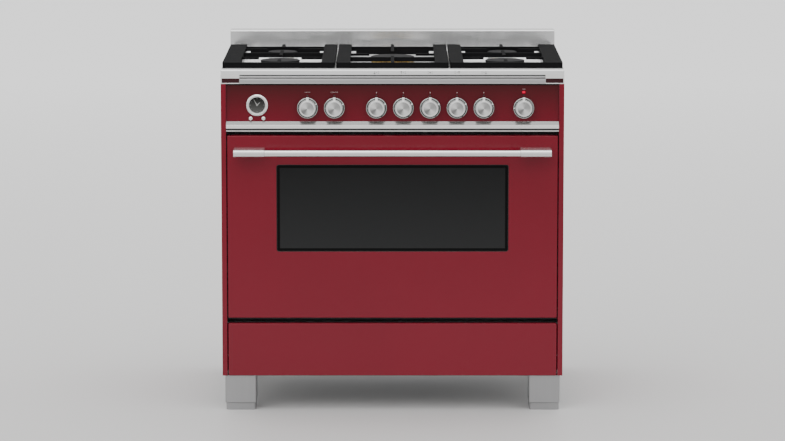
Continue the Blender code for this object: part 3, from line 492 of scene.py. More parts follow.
@dataclass(frozen=True)
class Brushed:
    """Brushed metal, with its grain along one axis."""

    name: str
    colour: Colour
    grain: Axis = Axis.X
    roughness: float = 0.26
    depth: float = 0.10
    contrast: float = 0.10
    metal: float = 1.0
    hair: tuple[float, float] = (650.0, 5.0)
    streak: tuple[float, float] = (90.0, 1.2)

    def drawn(self, scales: tuple[float, float]) -> tuple[float, ...]:
        """Noise scales: the first across the grain and the second along it."""
        return tuple(scales[1] if axis is self.grain else scales[0] for axis in Axis)

    def build(self) -> bpy.types.Material:
        """Make the material: noise drawn out along the grain drives colour, roughness and bump."""
        bench = Bench(self.name)
        hair = bench.noise(1.0, 3.0, self.drawn(self.hair), 0.6)
        streak = bench.noise(1.0, 2.0, self.drawn(self.streak))
        wear = hair * 0.5 + streak * 0.25 + bench.noise(6.0, 3.0) * 0.25
        dark, light = toned(self.colour, 1 - self.contrast), toned(self.colour, 1 + self.contrast * 0.5)
        bench.set(
            Base_Color=bench.mixed(hair * 0.6 + streak * 0.4, dark, light),
            Metallic=self.metal,
            Roughness=bench.spread(wear, self.roughness - 0.06, self.roughness + 0.08),
        )
        bench.bump(hair + streak * 0.3, self.depth, 0.0002)
        return bench.material


@dataclass(frozen=True)
class Spun:
    """Metal faced on a lathe: fine rings about one point, and light and dark sectors painted into its colour,
    a painted highlight where the rings catch light.
    """

    name: str
    colour: Colour
    centre: tuple[float, float]
    roughness: float = 0.24
    pitch: float = 0.00045

    def build(self) -> bpy.types.Material:
        """Make the material: rings follow the distance from the centre, and the sectors of painted highlight
        follow the direction.
        """
        bench = Bench(self.name)
        x, _, z = bench.coordinates()
        across = x - self.centre[0]
        up = z - self.centre[1]
        angle = across.maths("ARCTAN2", up, across)
        radius = (across * across + up * up) ** 0.5
        rings = radius.maths("SINE", radius * (TAU / self.pitch))
        # Light and dark sectors in the colour: a painted highlight.
        sectors = angle.maths("SINE", angle * 2.0 + 3.3) * 0.6 + angle.maths("SINE", angle * 3.0 - 0.6) * 0.2
        tone = bench.band(sectors + bench.noise(300.0) * 0.1, -0.7, 0.6)
        dark = toned(self.colour, 0.30)
        bench.set(Base_Color=bench.mixed(tone, dark, self.colour), Metallic=0.7, Roughness=self.roughness)
        bench.bump(rings, 0.12, 0.00008)
        return bench.material


@dataclass(frozen=True)
class Polished:
    """Bright metal with faint handling marks."""

    name: str
    colour: Colour
    roughness: float = 0.12
    metal: float = 1.0

    def build(self) -> bpy.types.Material:
        """Make the material."""
        bench = Bench(self.name)
        marks = bench.noise(35.0, 5.0)
        bench.set(
            Base_Color=bench.mixed(marks, toned(self.colour, 0.93), self.colour),
            Metallic=self.metal,
            Roughness=bench.spread(marks, self.roughness - 0.04, self.roughness + 0.07),
        )
        bench.bump(bench.noise(900.0), 0.03, 0.0001)
        return bench.material


@dataclass(frozen=True)
class Cast:
    """Cast metal, enamelled or bead blasted, with a sandy skin."""

    name: str
    colour: Colour
    light: Colour
    metallic: float = 0.0
    roughness: float = 0.62
    grit: float = 0.35
    shine: float = 0.5

    def build(self) -> bpy.types.Material:
        """Make the material."""
        bench = Bench(self.name)
        sand = bench.noise(420.0, 4.0, rough=0.65)
        lumps = bench.noise(45.0, 3.0)
        bench.set(
            Base_Color=bench.mixed(sand * 0.7 + lumps * 0.3, self.colour, self.light),
            Metallic=self.metallic,
            Roughness=bench.spread(lumps, self.roughness - 0.08, self.roughness + 0.08),
            Specular_IOR_Level=self.shine,
        )
        bench.bump(sand + lumps * 0.6, self.grit, 0.0004)
        return bench.material


@dataclass(frozen=True)
class Speckled:
    """Oven enamel: dark, glossy, with small pale specks."""

    name: str
    colour: Colour
    speck: Colour
    scale: float = 420.0

    def build(self) -> bpy.types.Material:
        """Make the material: a speck shows where the distance to a cell's point is small."""
        bench = Bench(self.name)
        distance = Number(bench, bench.cells(self.scale).outputs["Distance"])
        specks = (1 - bench.band(distance, 0.12, 0.24)) * bench.band(bench.noise(160.0), 0.5, 0.6)
        bench.set(
            Base_Color=bench.mixed(specks, self.colour, self.speck),
            Roughness=bench.spread(bench.noise(30.0, 3.0), 0.2, 0.34),
            Coat_Weight=0.2,
        )
        bench.bump(bench.noise(80.0, 3.0), 0.08, 0.0005)
        return bench.material


@dataclass(frozen=True)
class Galvanised:
    """Zinc-coated sheet with its spangle."""

    name: str
    colour: Colour
    scale: float = 95.0

    def build(self) -> bpy.types.Material:
        """Make the material: each cell of the spangle has its own tone and roughness."""
        bench = Bench(self.name)
        cell = bench.cells(self.scale).outputs["Color"]
        tone = Number(bench, bench.node("ShaderNodeSeparateColor", {}, {0: cell}).outputs[0])
        cloud = tone * 0.7 + bench.noise(12.0, 3.0) * 0.3
        bench.set(
            Base_Color=bench.mixed(cloud, toned(self.colour, 0.72), self.colour),
            Metallic=0.9,
            Roughness=bench.spread(tone, 0.36, 0.55),
        )
        bench.bump(bench.noise(300.0, 3.0), 0.06, 0.0003)
        return bench.material


@dataclass(frozen=True)
class Paint:
    """Plain paint, plastic or print with a fine texture."""

    name: str
    colour: Colour
    roughness: float = 0.4
    grain: float = 500.0
    glow: float = 0.0

    def build(self) -> bpy.types.Material:
        """Make the material."""
        bench = Bench(self.name)
        fine = bench.noise(self.grain)
        dark = toned(self.colour, 0.88)
        bench.set(Base_Color=bench.mixed(fine, dark, self.colour), Roughness=self.roughness)
        if self.glow:
            bench.set(Emission_Color=self.colour, Emission_Strength=self.glow, Specular_IOR_Level=0.05)
        bench.bump(fine, 0.08, 0.0002)
        return bench.material


@dataclass(frozen=True)
class Woven:
    """Braided heat seal: two sets of slanting strands."""

    name: str
    colour: Colour
    turns: float = 2600.0

    def build(self) -> bpy.types.Material:
        """Make the material: strands are sine waves of x + y + z and x - y + z, and the higher one shows. The
        colour is lighter on the crests and darker between strands: a painted highlight and painted shade.
        """
        bench = Bench(self.name)
        x, y, z = bench.coordinates()
        first = x.maths("SINE", (x + y + z) * self.turns)
        second = x.maths("SINE", (x - y + z) * self.turns)
        strands = x.maths("MAXIMUM", first, second)
        light = toned(self.colour, 1.9)
        # Lighter crests and darker hollows in the colour: painted highlight and painted shade.
        bench.set(Base_Color=bench.mixed(bench.band(strands, -0.2, 1.0), self.colour, light), Roughness=0.85)
        bench.bump(strands, 0.5, 0.0004)
        return bench.material


@dataclass(frozen=True)
class DarkGlass:
    """Tinted oven glass, paler towards its foot as a painted reflection, with a printed black border inside
    given half sizes.
    """

    name: str
    colour: Colour
    centre: tuple[float, float]
    half: tuple[float, float]
    border: float = 0.009

    def build(self) -> bpy.types.Material:
        """Make the material: the border shows where the distance to the edge, on either axis, is small."""
        bench = Bench(self.name)
        x, _, z = bench.coordinates()
        side = self.half[0] - x.maths("ABSOLUTE", x - self.centre[0])
        level = self.half[1] - x.maths("ABSOLUTE", z - self.centre[1])
        inside = x.maths("MINIMUM", side, level)
        clear = bench.band(inside, self.border, self.border + 0.0006)
        # Paler towards the foot: a painted reflection in the glass.
        fall = bench.band(z, self.centre[1] + self.half[1], self.centre[1] - self.half[1])
        shade = bench.mixed(fall, self.colour, toned(self.colour, 1.9))
        bench.set(
            Base_Color=bench.mixed(clear, (0.001, 0.001, 0.0012), shade),
            Roughness=bench.spread(bench.noise(14.0, 4.0), 0.03, 0.09),
            Specular_IOR_Level=0.2,
        )
        bench.bump(bench.noise(6.0, 1.0), 0.02, 0.001)
        return bench.material


RED = Enamel("red enamel", (0.182, 0.0018, 0.0145), (0.164, 0.0015, 0.0125))
# Darker towards the top: painted shade under the cooktop's overhang.
PANEL_RED_PAINTED_SHADE = Shaded("control panel enamel with painted shade", (0.150, 0.0020, 0.0125), (0.062, 0.0030, 0.0050))
INK = Enamel("black border print", (0.0015, 0.0015, 0.0015), (0.001, 0.001, 0.001), 0.2, 0.0, 0.02, 0.12)
# A darker copy of the rail's steel: painted shade on the slope.
SLOPE_STEEL_PAINTED_SHADE = Brushed("rail slope steel in painted shade", (0.30, 0.295, 0.29), roughness=0.10, depth=0.02)
PALE_STEEL = Paint("clock hand paint", (0.34, 0.34, 0.33), 0.5)
# Red enamel made as dark as red in shade: painted shade in the end blocks' slots.
SLOT_RED_PAINTED_SHADE = Enamel("slot tray red in painted shade", (0.035, 0.003, 0.006), (0.028, 0.003, 0.005))
STEEL = Brushed("brushed steel", (0.60, 0.60, 0.60))
TRIM_STEEL = Brushed("trim steel", (0.92, 0.91, 0.90), roughness=0.22, metal=0.35)
GUARD_STEEL = Brushed("backguard steel", (0.92, 0.92, 0.92), Axis.Z, 0.19, 0.06, 0.12, 0.8)
LEG_STEEL = Brushed("leg steel", (0.40, 0.40, 0.405), Axis.Z, 0.42)
BAR_STEEL = Polished("handle bar steel", (0.84, 0.84, 0.83), 0.06)
SLEEVE_STEEL = Polished("handle sleeve metal", (0.80, 0.80, 0.80), 0.07, 0.85)
CHROME = Polished("bright trim", (0.95, 0.95, 0.94), 0.1, 0.6)
SKIRT_METAL = Polished("knob skirt metal", (0.50, 0.51, 0.50), 0.24, 0.85)
FASCIA_STEEL = Brushed("fascia steel", (0.60, 0.60, 0.605), roughness=0.3)
DECK_STEEL = Brushed("deck steel", (0.97, 0.97, 0.97), roughness=0.16, depth=0.04, contrast=0.04, metal=0.4)
IRON = Cast("cast iron", (0.004, 0.004, 0.0043), (0.010, 0.010, 0.0105), 0.0, 0.85, 0.35, 0.04)
HEAD_METAL = Cast("burner head metal", (0.55, 0.55, 0.56), (0.85, 0.85, 0.85), 1.0, 0.34, 0.15)
CERAMIC = Paint("electrode ceramic", (0.80, 0.79, 0.75), 0.3)
PALE_PRINT = Paint("pale print", (0.55, 0.45, 0.45), 0.5)
CAP_ENAMEL = Cast("burner cap enamel", (0.006, 0.006, 0.0065), (0.012, 0.012, 0.0125), 0.0, 0.6, 0.15, 0.05)
ALUMINIUM = Cast("burner aluminium", (0.42, 0.42, 0.43), (0.72, 0.72, 0.72), 1.0, 0.4, 0.2)
BRASS = Brushed("brass", (0.86, 0.62, 0.22), Axis.Z, 0.26)
OVEN_GREY = Speckled("oven enamel", (0.020, 0.021, 0.026), (0.30, 0.31, 0.34))
ZINC = Galvanised("zinc sheet", (0.52, 0.53, 0.54))
ELEMENT = Polished("element sheath", (0.17, 0.16, 0.15), 0.42)
LAMP = Paint("lamp glass", (0.74, 0.74, 0.70), 0.12, 200.0)
RACK_CHROME = Polished("rack wire", (0.62, 0.62, 0.62), 0.16)
SEAL = Woven("oven seal", (0.028, 0.027, 0.026))
WHITE = Paint("white print", (0.86, 0.86, 0.84), 0.35)
# One black for print and rubber, and for painted shade in grooves, screw sockets and round the knob caps.
BLACK_PRINT_RUBBER_AND_SHADE = Paint("black print, rubber and painted shade", (0.012, 0.012, 0.012), 0.45)
GREY_PRINT = Paint("grey print", (0.20, 0.20, 0.20), 0.5)
# Paler towards the foot: a painted reflection on the dark dial.
DIAL_PAINTED_REFLECTION = Shaded("dial face with painted reflection", (0.12, 0.12, 0.115), (0.0015, 0.0015, 0.0015), "clock_case", 0.4, 0.08)
INDICATOR = Paint("indicator lens", (0.74, 0.002, 0.045), 0.6, 300.0, 0.25)
# Greyer about the range and dark in front: painted shade on the floor.
FLOOR = Pale("floor", (0.26, 0.26, 0.26), (0.54, 0.535, 0.53), (0.96, 0.96, 0.96))

MATERIALS: dict[str, bpy.types.Material] = {}


def dressed(finish: object) -> bpy.types.Material:
    """The material of a finish, made once."""
    if finish.name not in MATERIALS:
        MATERIALS[finish.name] = finish.build()
    return MATERIALS[finish.name]


# ----------------------------------------------------------------------------
# Pieces
# ----------------------------------------------------------------------------


def add_piece(
    name: str,
    mesh: bpy.types.Mesh,
    finish: object,
    body: str,
    replaces: Sequence[str] = (),
    bevel: float = 0.0,
    angle: float = 32.0,
) -> bpy.types.Object:
    """Turn a mesh into a piece of the range.

    Args:
        name: the piece's name.
        mesh: its mesh, in place.
        finish: its finish.
        body: the body that it moves with.
        replaces: nodes that it stands for.
        bevel: width of a bevel on its sharp edges.
        angle: above this angle an edge stays sharp, in degrees.

    Returns:
        The piece.
    """
    mesh.shade_smooth()
    mesh.set_sharp_from_angle(angle=math.radians(angle))
    mesh.materials.append(dressed(finish))
    made = bpy.data.objects.new(name, mesh)
    bpy.context.collection.objects.link(made)
    if bevel:
        step = made.modifiers.new("Edges", "BEVEL")
        step.width = bevel
        step.segments = 2
        step.limit_method = "ANGLE"
        step.angle_limit = math.radians(30)
        step.harden_normals = False
    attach(made, body)
    if replaces:
        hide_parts(*replaces)
    LOG.info("%s rides on %s, %d faces", name, body, len(mesh.polygons))
    return made


def lofted(
    name: str,
    loops: Array,
    finish: object,
    body: str,
    replaces: Sequence[str] = (),
    bevel: float = 0.0,
    angle: float = 32.0,
    *,
    capped: bool = True,
    ring: bool = False,
) -> bpy.types.Object:
    """A tube through closed loops as a piece; the arguments are those of Shape.loft and add_piece."""
    mesh = Shape().loft(loops, capped, ring).mesh(name)
    return add_piece(name, mesh, finish, body, replaces, bevel, angle)


def turned_piece(
    name: str,
    centre: Sequence[float],
    profile: Array | Sequence,
    steps: int,
    finish: object,
    body: str,
    replaces: Sequence[str] = (),
    *,
    axis: Axis = Axis.Y,
    ring: bool = False,
) -> bpy.types.Object:
    """A turned profile as a piece: it starts and ends on the centre line, or closes on itself as a ring."""
    loops = turned(axis, centre, profile, steps)
    return lofted(name, loops, finish, body, replaces, capped=False, ring=ring)


def turned_box(node: str, axis: Axis) -> tuple[tuple[float, float], float, float, float]:
    """A turned node's centre line and radius, and the places of its two ends along an axis."""
    low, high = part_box(node)
    up = 2 if axis is Axis.Y else 1
    centre = (float(low[0] + high[0]) / 2, float(low[up] + high[up]) / 2)
    return centre, float(high[0] - low[0]) / 2, float(low[axis.value]), float(high[axis.value])


def refined(node: str, finish: object, body: str, bevel: float = 0.0008) -> bpy.types.Object:
    """Stand a merged and bevelled copy of a node in its place."""
    source = frame["nodes"][node].data
    work = bmesh.new()
    work.from_mesh(source)
    bmesh.ops.remove_doubles(work, verts=work.verts, dist=2e-5)
    bmesh.ops.dissolve_limit(work, angle_limit=math.radians(0.5), verts=work.verts, edges=work.edges)
    mesh = bpy.data.meshes.new(f"{node}_fine")
    work.to_mesh(mesh)
    work.free()
    return add_piece(f"{node}_fine", mesh, finish, body, (node,), bevel)


def dress_node(node: str, finish: object) -> None:
    """Give a node that stays a finish of its own."""
    target = frame["nodes"][node]
    target.data.materials.clear()
    target.data.materials.append(dressed(finish))
    LOG.info("%s stays, in %s", node, finish.name)


def middle(node: str) -> Array:
    """The centre of a node's box."""
    low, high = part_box(node)
    return (np.array(low) + np.array(high)) / 2


def frame_loops(axis: Axis, outer: Array, hole: Array, start: float, end: float) -> Array:
    """Loops of a plate with a hole: round the outside, over the front, down the hole and back.

    Args:
        axis: the direction through the plate.
        outer: its outline.
        hole: the hole's outline, with as many points.
        start: place of one face.
        end: place of the other face.

    Returns:
        Loops x points x 3, to be closed as a ring.
    """
    rows = ((outer, start), (outer, end), (hole, end), (hole, start))
    return np.stack([axis.place(outline[:, 0], outline[:, 1], np.array(level)) for outline, level in rows])


def moved(outline: Array, across: float, up: float) -> Array:
    """An outline carried to another place in its plane."""
    return outline + np.array([across, up])


def radial(centre: Sequence[float], rows: Sequence[tuple[Array | float, float]], steps: int) -> Array:
    """Loops round an upright line: each row has one radius, or one for each direction, and a height."""
    angle = np.linspace(0, TAU, steps, endpoint=False)
    loops = []
    for radius, level in rows:
        reach = np.broadcast_to(np.asarray(radius, float), (steps,))
        across, up = centre[0] + reach * np.cos(angle), centre[1] + reach * np.sin(angle)
        loops.append(Axis.Z.place(across, up, np.array(level)))
    return np.stack(loops)


def lettered(name: str, word: str, place: Sequence[float], finish: object, height: float = 0.0030) -> None:
    """Print a word on a fixed surface that faces the front.

    Args:
        name: the piece's name.
        word: the letters.
        place: the middle of the word's base line.
        finish: the print's finish.
        height: the letters' size.
    """
    curve = bpy.data.curves.new(f"{name}_curve", "FONT")
    curve.body = word
    curve.size = height
    curve.align_x = "CENTER"
    curve.extrude = 0.00002
    source = bpy.data.objects.new(f"{name}_source", curve)
    flat = bpy.data.meshes.new_from_object(source)
    count = len(flat.vertices)
    points = np.empty(count * 3)
    flat.vertices.foreach_get("co", points)
    points = points.reshape(count, 3)
    stood = Axis.Y.place(points[:, 0] + place[0], points[:, 1] + place[2], place[1] - points[:, 2])
    flat.vertices.foreach_set("co", stood.ravel())
    bpy.data.objects.remove(source)
    bpy.data.curves.remove(curve)
    flat.name = name
    add_piece(name, flat, finish, "cabinet")


@dataclass
class Stage:
    """Floor, lights, surroundings and camera."""

    distance: float = 9.3
    height: float = 1.88
    aim_height: float = 0.514
    lens: float = 162.0
    reach: float = 22.0

    def build(self) -> None:
        """Make the whole stage."""
        self.build_floor()
        self.build_surroundings()
        self.build_lights()
        self.build_camera()

    def build_floor(self) -> None:
        """A wide floor, pale far off, with painted shade about the range and in front."""
        edge = np.array([-self.reach, self.reach])
        points = Axis.Z.place(edge[None, :], edge[:, None], np.zeros((2, 2)))
        mesh = Shape().grid(points).mesh("floor")
        mesh.materials.append(dressed(FLOOR))
        floor = bpy.data.objects.new("floor", mesh)
        bpy.context.collection.objects.link(floor)

    def build_surroundings(self) -> None:
        """A pale surround: dim below the horizon, bright above it."""
        world = bpy.data.worlds.new("studio")
        bpy.context.scene.world = world
        world.use_nodes = True
        tree = world.node_tree
        place = tree.nodes.new("ShaderNodeTexCoord")
        parts = tree.nodes.new("ShaderNodeSeparateXYZ")
        ramp = tree.nodes.new("ShaderNodeValToRGB")
        stops = ((0.0, 0.30), (0.50, 0.26), (0.55, 0.55), (0.64, 0.98), (1.0, 1.05))
        Bench.set_stops(ramp.color_ramp, tuple((position, (tone, tone, tone)) for position, tone in stops))
        rise = tree.nodes.new("ShaderNodeMapRange")
        rise.inputs["From Min"].default_value = -1.0
        tree.links.new(place.outputs["Generated"], parts.inputs[0])
        tree.links.new(parts.outputs["Z"], rise.inputs["Value"])
        tree.links.new(rise.outputs[0], ramp.inputs[0])
        tree.links.new(ramp.outputs[0], tree.nodes["Background"].inputs["Color"])
        tree.nodes["Background"].inputs["Strength"].default_value = 1.5

    def build_lights(self) -> None:
        """Two soft boxes: one overhead and one high in front."""
        self.area("overhead", (0.0, -0.4, 3.6), (0.0, 0.0, 0.0), 2.4, 31.0)
        self.area("front", (-2.2, -4.2, 3.4), (0.0, 0.0, 0.5), 2.4, 46.0)

    def area(
        self, name: str, place: Sequence[float], target: Sequence[float], size: float, power: float
    ) -> None:
        """One square area light that looks at a point."""
        light = bpy.data.lights.new(name, "AREA")
        light.size = size
        light.energy = power
        lamp = bpy.data.objects.new(name, light)
        lamp.location = place
        bpy.context.collection.objects.link(lamp)
        self.look(lamp, target)

    @staticmethod
    def look(item: bpy.types.Object, target: Sequence[float]) -> None:
        """Turn an object so that its -Z looks at a point."""
        away = np.asarray(target, float) - np.array(item.location)
        across = math.hypot(away[0], away[1])
        item.rotation_euler = (math.atan2(across, -away[2]), 0.0, math.atan2(-away[0], away[1]))

    def build_camera(self) -> None:
        """The camera, a long way in front and a little above."""
        low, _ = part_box("drawer_front")
        camera = bpy.data.cameras.new("camera")
        camera.lens = self.lens
        camera.clip_end = 100.0
        item = bpy.data.objects.new("camera", camera)
        item.location = (0.0, low[1] - self.distance, self.height)
        bpy.context.collection.objects.link(item)
        self.look(item, (0.0, low[1], self.aim_height))
        bpy.context.scene.camera = item


@dataclass
class Casing:
    """Side panels, back, base, legs, backguard and the rail under the controls."""

    groove_low: float = 0.0035
    groove_height: float = 0.004
    overlap: float = 0.0007
    screw_radius: float = 0.0042
    screw_rise: float = 0.0022
    screw_inset: float = 0.007
    slope_rise: float = 0.0095
    slope_sink: float = 0.0004
    slope_proud: float = 0.0003

    def build(self) -> None:
        """Make the casing."""
        for node in ("side_panel_left", "side_panel_right"):
            refined(node, RED, "cabinet", 0.0006)
        refined("back_panel", ZINC, "cabinet", 0.0004)
        refined("base_frame", ZINC, "cabinet", 0.0006)
        refined("panel_trim", TRIM_STEEL, "cabinet", 0.0006)
        refined("backguard", GUARD_STEEL, "cabinet", 0.0008)
        for node in ("front_leg_left", "front_leg_right", "rear_leg_left", "rear_leg_right"):
            refined(node, LEG_STEEL, "cabinet", 0.0008)
        self.build_shadow_strip()
        self.build_slope()
        self.build_screws()

    def build_shadow_strip(self) -> None:
        """A black strip that fills the rail's groove and laps its edges: painted shade in the groove."""
        low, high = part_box("panel_trim")
        bottom = low[2] + self.groove_low
        middle_z = bottom + self.groove_height / 2
        half = self.groove_height / 2 + self.overlap
        outline = rounded_rectangle(0.0024, half, 0.0003, 3)
        outline = moved(outline, low[1] + 0.0023, middle_z)
        loops = straight(Axis.X, outline, low[0] + 0.0006, high[0] - 0.0006, 0.0004)
        lofted("trim_groove_shadow_strip", loops, BLACK_PRINT_RUBBER_AND_SHADE, "cabinet")

    def build_screws(self) -> None:
        """Domed screws with a hexagon socket, down both edges of the back panel and along its foot. Each
        socket is a black hexagon, painted shade for its hollow.
        """
        low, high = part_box("back_panel")
        inset, face = self.screw_inset, float(high[1])
        ladder = np.linspace(low[2] + inset, high[2] - 0.05, 6)
        foot = np.linspace(low[0] + inset, high[0] - inset, 5)[1:-1]
        places = [(x, z) for x in (low[0] + inset, high[0] - inset) for z in ladder]
        places += [(x, low[2] + inset) for x in foot]
        turn = np.linspace(0, math.pi / 2 - 0.35, 6)
        radius, rise = self.screw_radius, self.screw_rise
        dome = np.stack([radius * np.cos(turn), face + rise * np.sin(turn)], axis=-1)
        heads, sockets = Shape(), Shape()
        for place in places:
            seat = face - 0.0004
            profile = np.vstack([[(0.0, face + rise * 0.94)], dome[::-1], [(radius, seat), (0.0, seat)]])
            heads.loft(turned(Axis.Y, place, profile, 24), capped=False)
            # A black hexagon in place of the socket's hollow: painted shade.
            hexagon = ((0.0017, face + rise * 0.90), (0.0016, face + rise * 0.97))
            sockets.loft(turned(Axis.Y, place, hexagon, 6))
        add_piece("back_screws", heads.mesh("back_screws"), ZINC, "cabinet")
        add_piece("back_screw_sockets", sockets.mesh("back_screw_sockets"), BLACK_PRINT_RUBBER_AND_SHADE, "cabinet")

    def build_slope(self) -> None:
        """The polished plate on the rail's slope, which mirrors the knobs; its steel is darker than the
        rail's, which is painted shade.
        """
        low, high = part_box("panel_trim")
        front = np.array([low[1], low[2] + self.groove_low + self.groove_height + self.slope_rise])
        back = np.array([float(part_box("control_panel")[0][1]) - 0.0005, high[2]])
        along = (back - front) / np.linalg.norm(back - front)
        normal = np.array([-along[1], along[0]])
        start, end = front + along * 0.0006, back - along * 0.0006
        sink, proud = normal * self.slope_sink, normal * self.slope_proud
        outline = np.array([start - sink, end - sink, end + proud, start + proud])
        loops = straight(Axis.X, outline, low[0] + 0.0005, high[0] - 0.0005)
        lofted("trim_slope", loops, SLOPE_STEEL_PAINTED_SHADE, "cabinet")


@dataclass
class Cooktop:
    """The pressed top: a rolled rim, the well, a grooved nosing and two slotted end blocks."""

    roll: float = 0.0035
    rim_drop: float = 0.0135
    nosing_depth: float = 0.003
    well_margin: float = 0.053
    well_front: float = 0.060
    well_length: float = 0.472
    well_drop: float = 0.024
    well_round: float = 0.030
    block_width: float = 0.0500
    slot_low: float = 0.0026
    slot_high: float = 0.0148
    band_low: float = 0.0162
    band_high: float = 0.0212
    fascia_high: float = 0.0135
    plan_drop: float = 0.0042
    plan_step: tuple[float, float] = (0.0052, 0.0021)
    own_dot: float = 0.0022
    other_dot: float = 0.0011

    def build(self) -> None:
        """Make the cooktop's pieces."""
        self.low, self.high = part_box("cooktop")
        self.build_deck()
        self.build_band()
        self.build_nosing()
        for side in (-1, 1):
            self.build_end_block(side)
        self.build_icons()

    def loop(self, box: Sequence[float], inset: float, radius: float, level: float) -> Array:
        """A level rounded rectangle: a box's centre and half sizes, drawn in by an inset."""
        outline = rounded_rectangle(box[2] - inset, box[3] - inset, radius)
        return Axis.Z.place(box[0] + outline[:, 0], box[1] + outline[:, 1], np.array(level))

    def build_deck(self) -> None:
        """The deck: up the skirt, over the rolled edge (a quarter circle), over the rim and into the well.

        The well's wall follows pairs of inset and drop that round both its upper and its lower edge.
        """
        low, high = self.low, self.high
        top = high[2]
        outer = (0.0, (low[1] + high[1]) / 2, high[0], (high[1] - low[1]) / 2)
        half = self.well_length / 2
        well = (0.0, low[1] + self.well_front + half, high[0] - self.well_margin, half)
        skirt = self.nosing_depth
        loops = [self.loop(outer, skirt, 0.001, low[2]), self.loop(outer, skirt, 0.001, top - self.rim_drop)]
        loops.append(self.loop(outer, 0.0002, 0.003, top - self.rim_drop))
        for turn in np.linspace(0, math.pi / 2, 7):
            inset = self.roll * (1 - math.cos(turn))
            level = top - self.roll * (1 - math.sin(turn))
            loops.append(self.loop(outer, inset, 0.003, level))
        drop = self.well_drop
        steps = ((-0.0025, 0.0), (-0.0008, 0.0003), (0.0004, 0.0012), (0.0012, 0.0032))
        steps += ((0.0046, drop - 0.0040), (0.0054, drop - 0.0018), (0.0066, drop - 0.0006), (0.0084, drop))
        for inset, fall in steps:
            loops.append(self.loop(well, inset, self.well_round - inset, top - fall))
        replaced = ("cooktop",)
        lofted("cooktop_deck", np.stack(loops), DECK_STEEL, "cabinet", replaced, angle=40.0)

    def build_band(self) -> None:
        """The plain band round the sides and the back, under the rolled edge."""
        low, high = self.low, self.high
        front = low[1] + self.nosing_depth + 0.0002
        half = ((high[0] - low[0]) / 2, (high[1] - front) / 2)
        centre = (front + high[1]) / 2
        outer = moved(rounded_rectangle(*half, 0.002), 0.0, centre)
        hole = moved(rounded_rectangle(half[0] - 0.0028, half[1] - 0.0028, 0.001), 0.0, centre)
        loops = frame_loops(Axis.Z, outer, hole, low[2], high[2] - self.rim_drop - 0.0004)
        lofted("cooktop_band", loops, STEEL, "cabinet", bevel=0.0004, ring=True)

    def bar(self, name: str, reach: float, low: float, high: float, finish: object) -> None:
        """A bar of the nosing that reaches as far to both sides, between two heights over its lower edge."""
        base = self.low[2]
        centre = (self.low[1] + self.nosing_depth / 2, base + (low + high) / 2)
        outline = rounded_rectangle(self.nosing_depth / 2, (high - low) / 2, min(0.0007, (high - low) / 3), 4)
        loops = straight(Axis.X, moved(outline, *centre), -reach, reach, 0.0003)
        lofted(name, loops, finish, "cabinet")

    def build_nosing(self) -> None:
        """The nosing's band and fascia, with a black strip behind the two grooves as painted shade in them.
        """
        reach = self.high[0] - self.block_width - 0.0003
        self.bar("nosing_band", reach, self.band_low, self.band_high, STEEL)
        self.bar("nosing_fascia", reach, 0.0002, self.fascia_high, FASCIA_STEEL)
        base = self.low[2]
        # The black strip seen through the grooves is painted shade.
        outline = rounded_rectangle(0.0004, 0.0052, 0.0002, 2)
        centre = (self.low[1] + self.nosing_depth - 0.0003, base + 0.0192)
        loops = straight(Axis.X, moved(outline, *centre), -reach, reach)
        lofted("nosing_groove_shadow_strip", loops, BLACK_PRINT_RUBBER_AND_SHADE, "cabinet")

    def build_end_block(self, side: int) -> None:
        """One end block: a bright plate with a long slot, and the dark tray seen through it, whose dark red
        is painted shade.
        """
        word = "left" if side < 0 else "right"
        width = self.block_width
        x = side * (self.high[0] - width / 2)
        base = self.low[2]
        top = self.high[2] - self.rim_drop - 0.0004 - base
        outer = rounded_rectangle(width / 2, (top - 0.0002) / 2, 0.0006, 4)
        outer = moved(outer, x, base + 0.0002 + top / 2)
        slot_middle = base + (self.slot_low + self.slot_high) / 2
        slot_half = (self.slot_high - self.slot_low) / 2
        hole = rounded_rectangle(width / 2 - 0.0016, slot_half, 0.0010, 4)
        hole = moved(hole, x - side * 0.0012, slot_middle)
        front = self.low[1]
        loops = frame_loops(Axis.Y, outer, hole, front + self.nosing_depth, front + 0.0001)
        lofted(f"nosing_end_{word}", loops, TRIM_STEEL, "cabinet", bevel=0.0003, ring=True)
        # The tray's dark red is painted shade seen through the slot.
        tray = rounded_rectangle(width / 2 - 0.0010, slot_half + 0.0004, 0.0008, 3)
        tray = moved(tray, x - side * 0.0008, slot_middle)
        loops = straight(Axis.Y, tray, front + 0.0022, front + 0.0029)
        lofted(f"nosing_slot_{word}", loops, SLOT_RED_PAINTED_SHADE, "cabinet")

    def build_icons(self) -> None:
        """A plan of the five burners printed on the rim over each burner knob, its own dot the largest."""
        front = self.low[1]
        level = self.high[2] - self.roll - self.plan_drop
        spots = {"left_front": (-1, -1), "left_rear": (-1, 1), "centre": (0, 0), "right_rear": (1, 1)}
        spots["right_front"] = (1, -1)
        shape = Shape()
        for name in spots:
            x = middle(f"burner_knob_{name}")[0]
            for other, (across, along) in spots.items():
                radius = self.own_dot if other == name else self.other_dot
                centre = (x + across * self.plan_step[0], level + along * self.plan_step[1])
                shape.loft(turned(Axis.Y, centre, ((radius, front + 0.0002), (radius, front - PRINT)), 12))
        add_piece("burner_plan_marks", shape.mesh("burner_plan_marks"), GREY_PRINT, "cabinet")


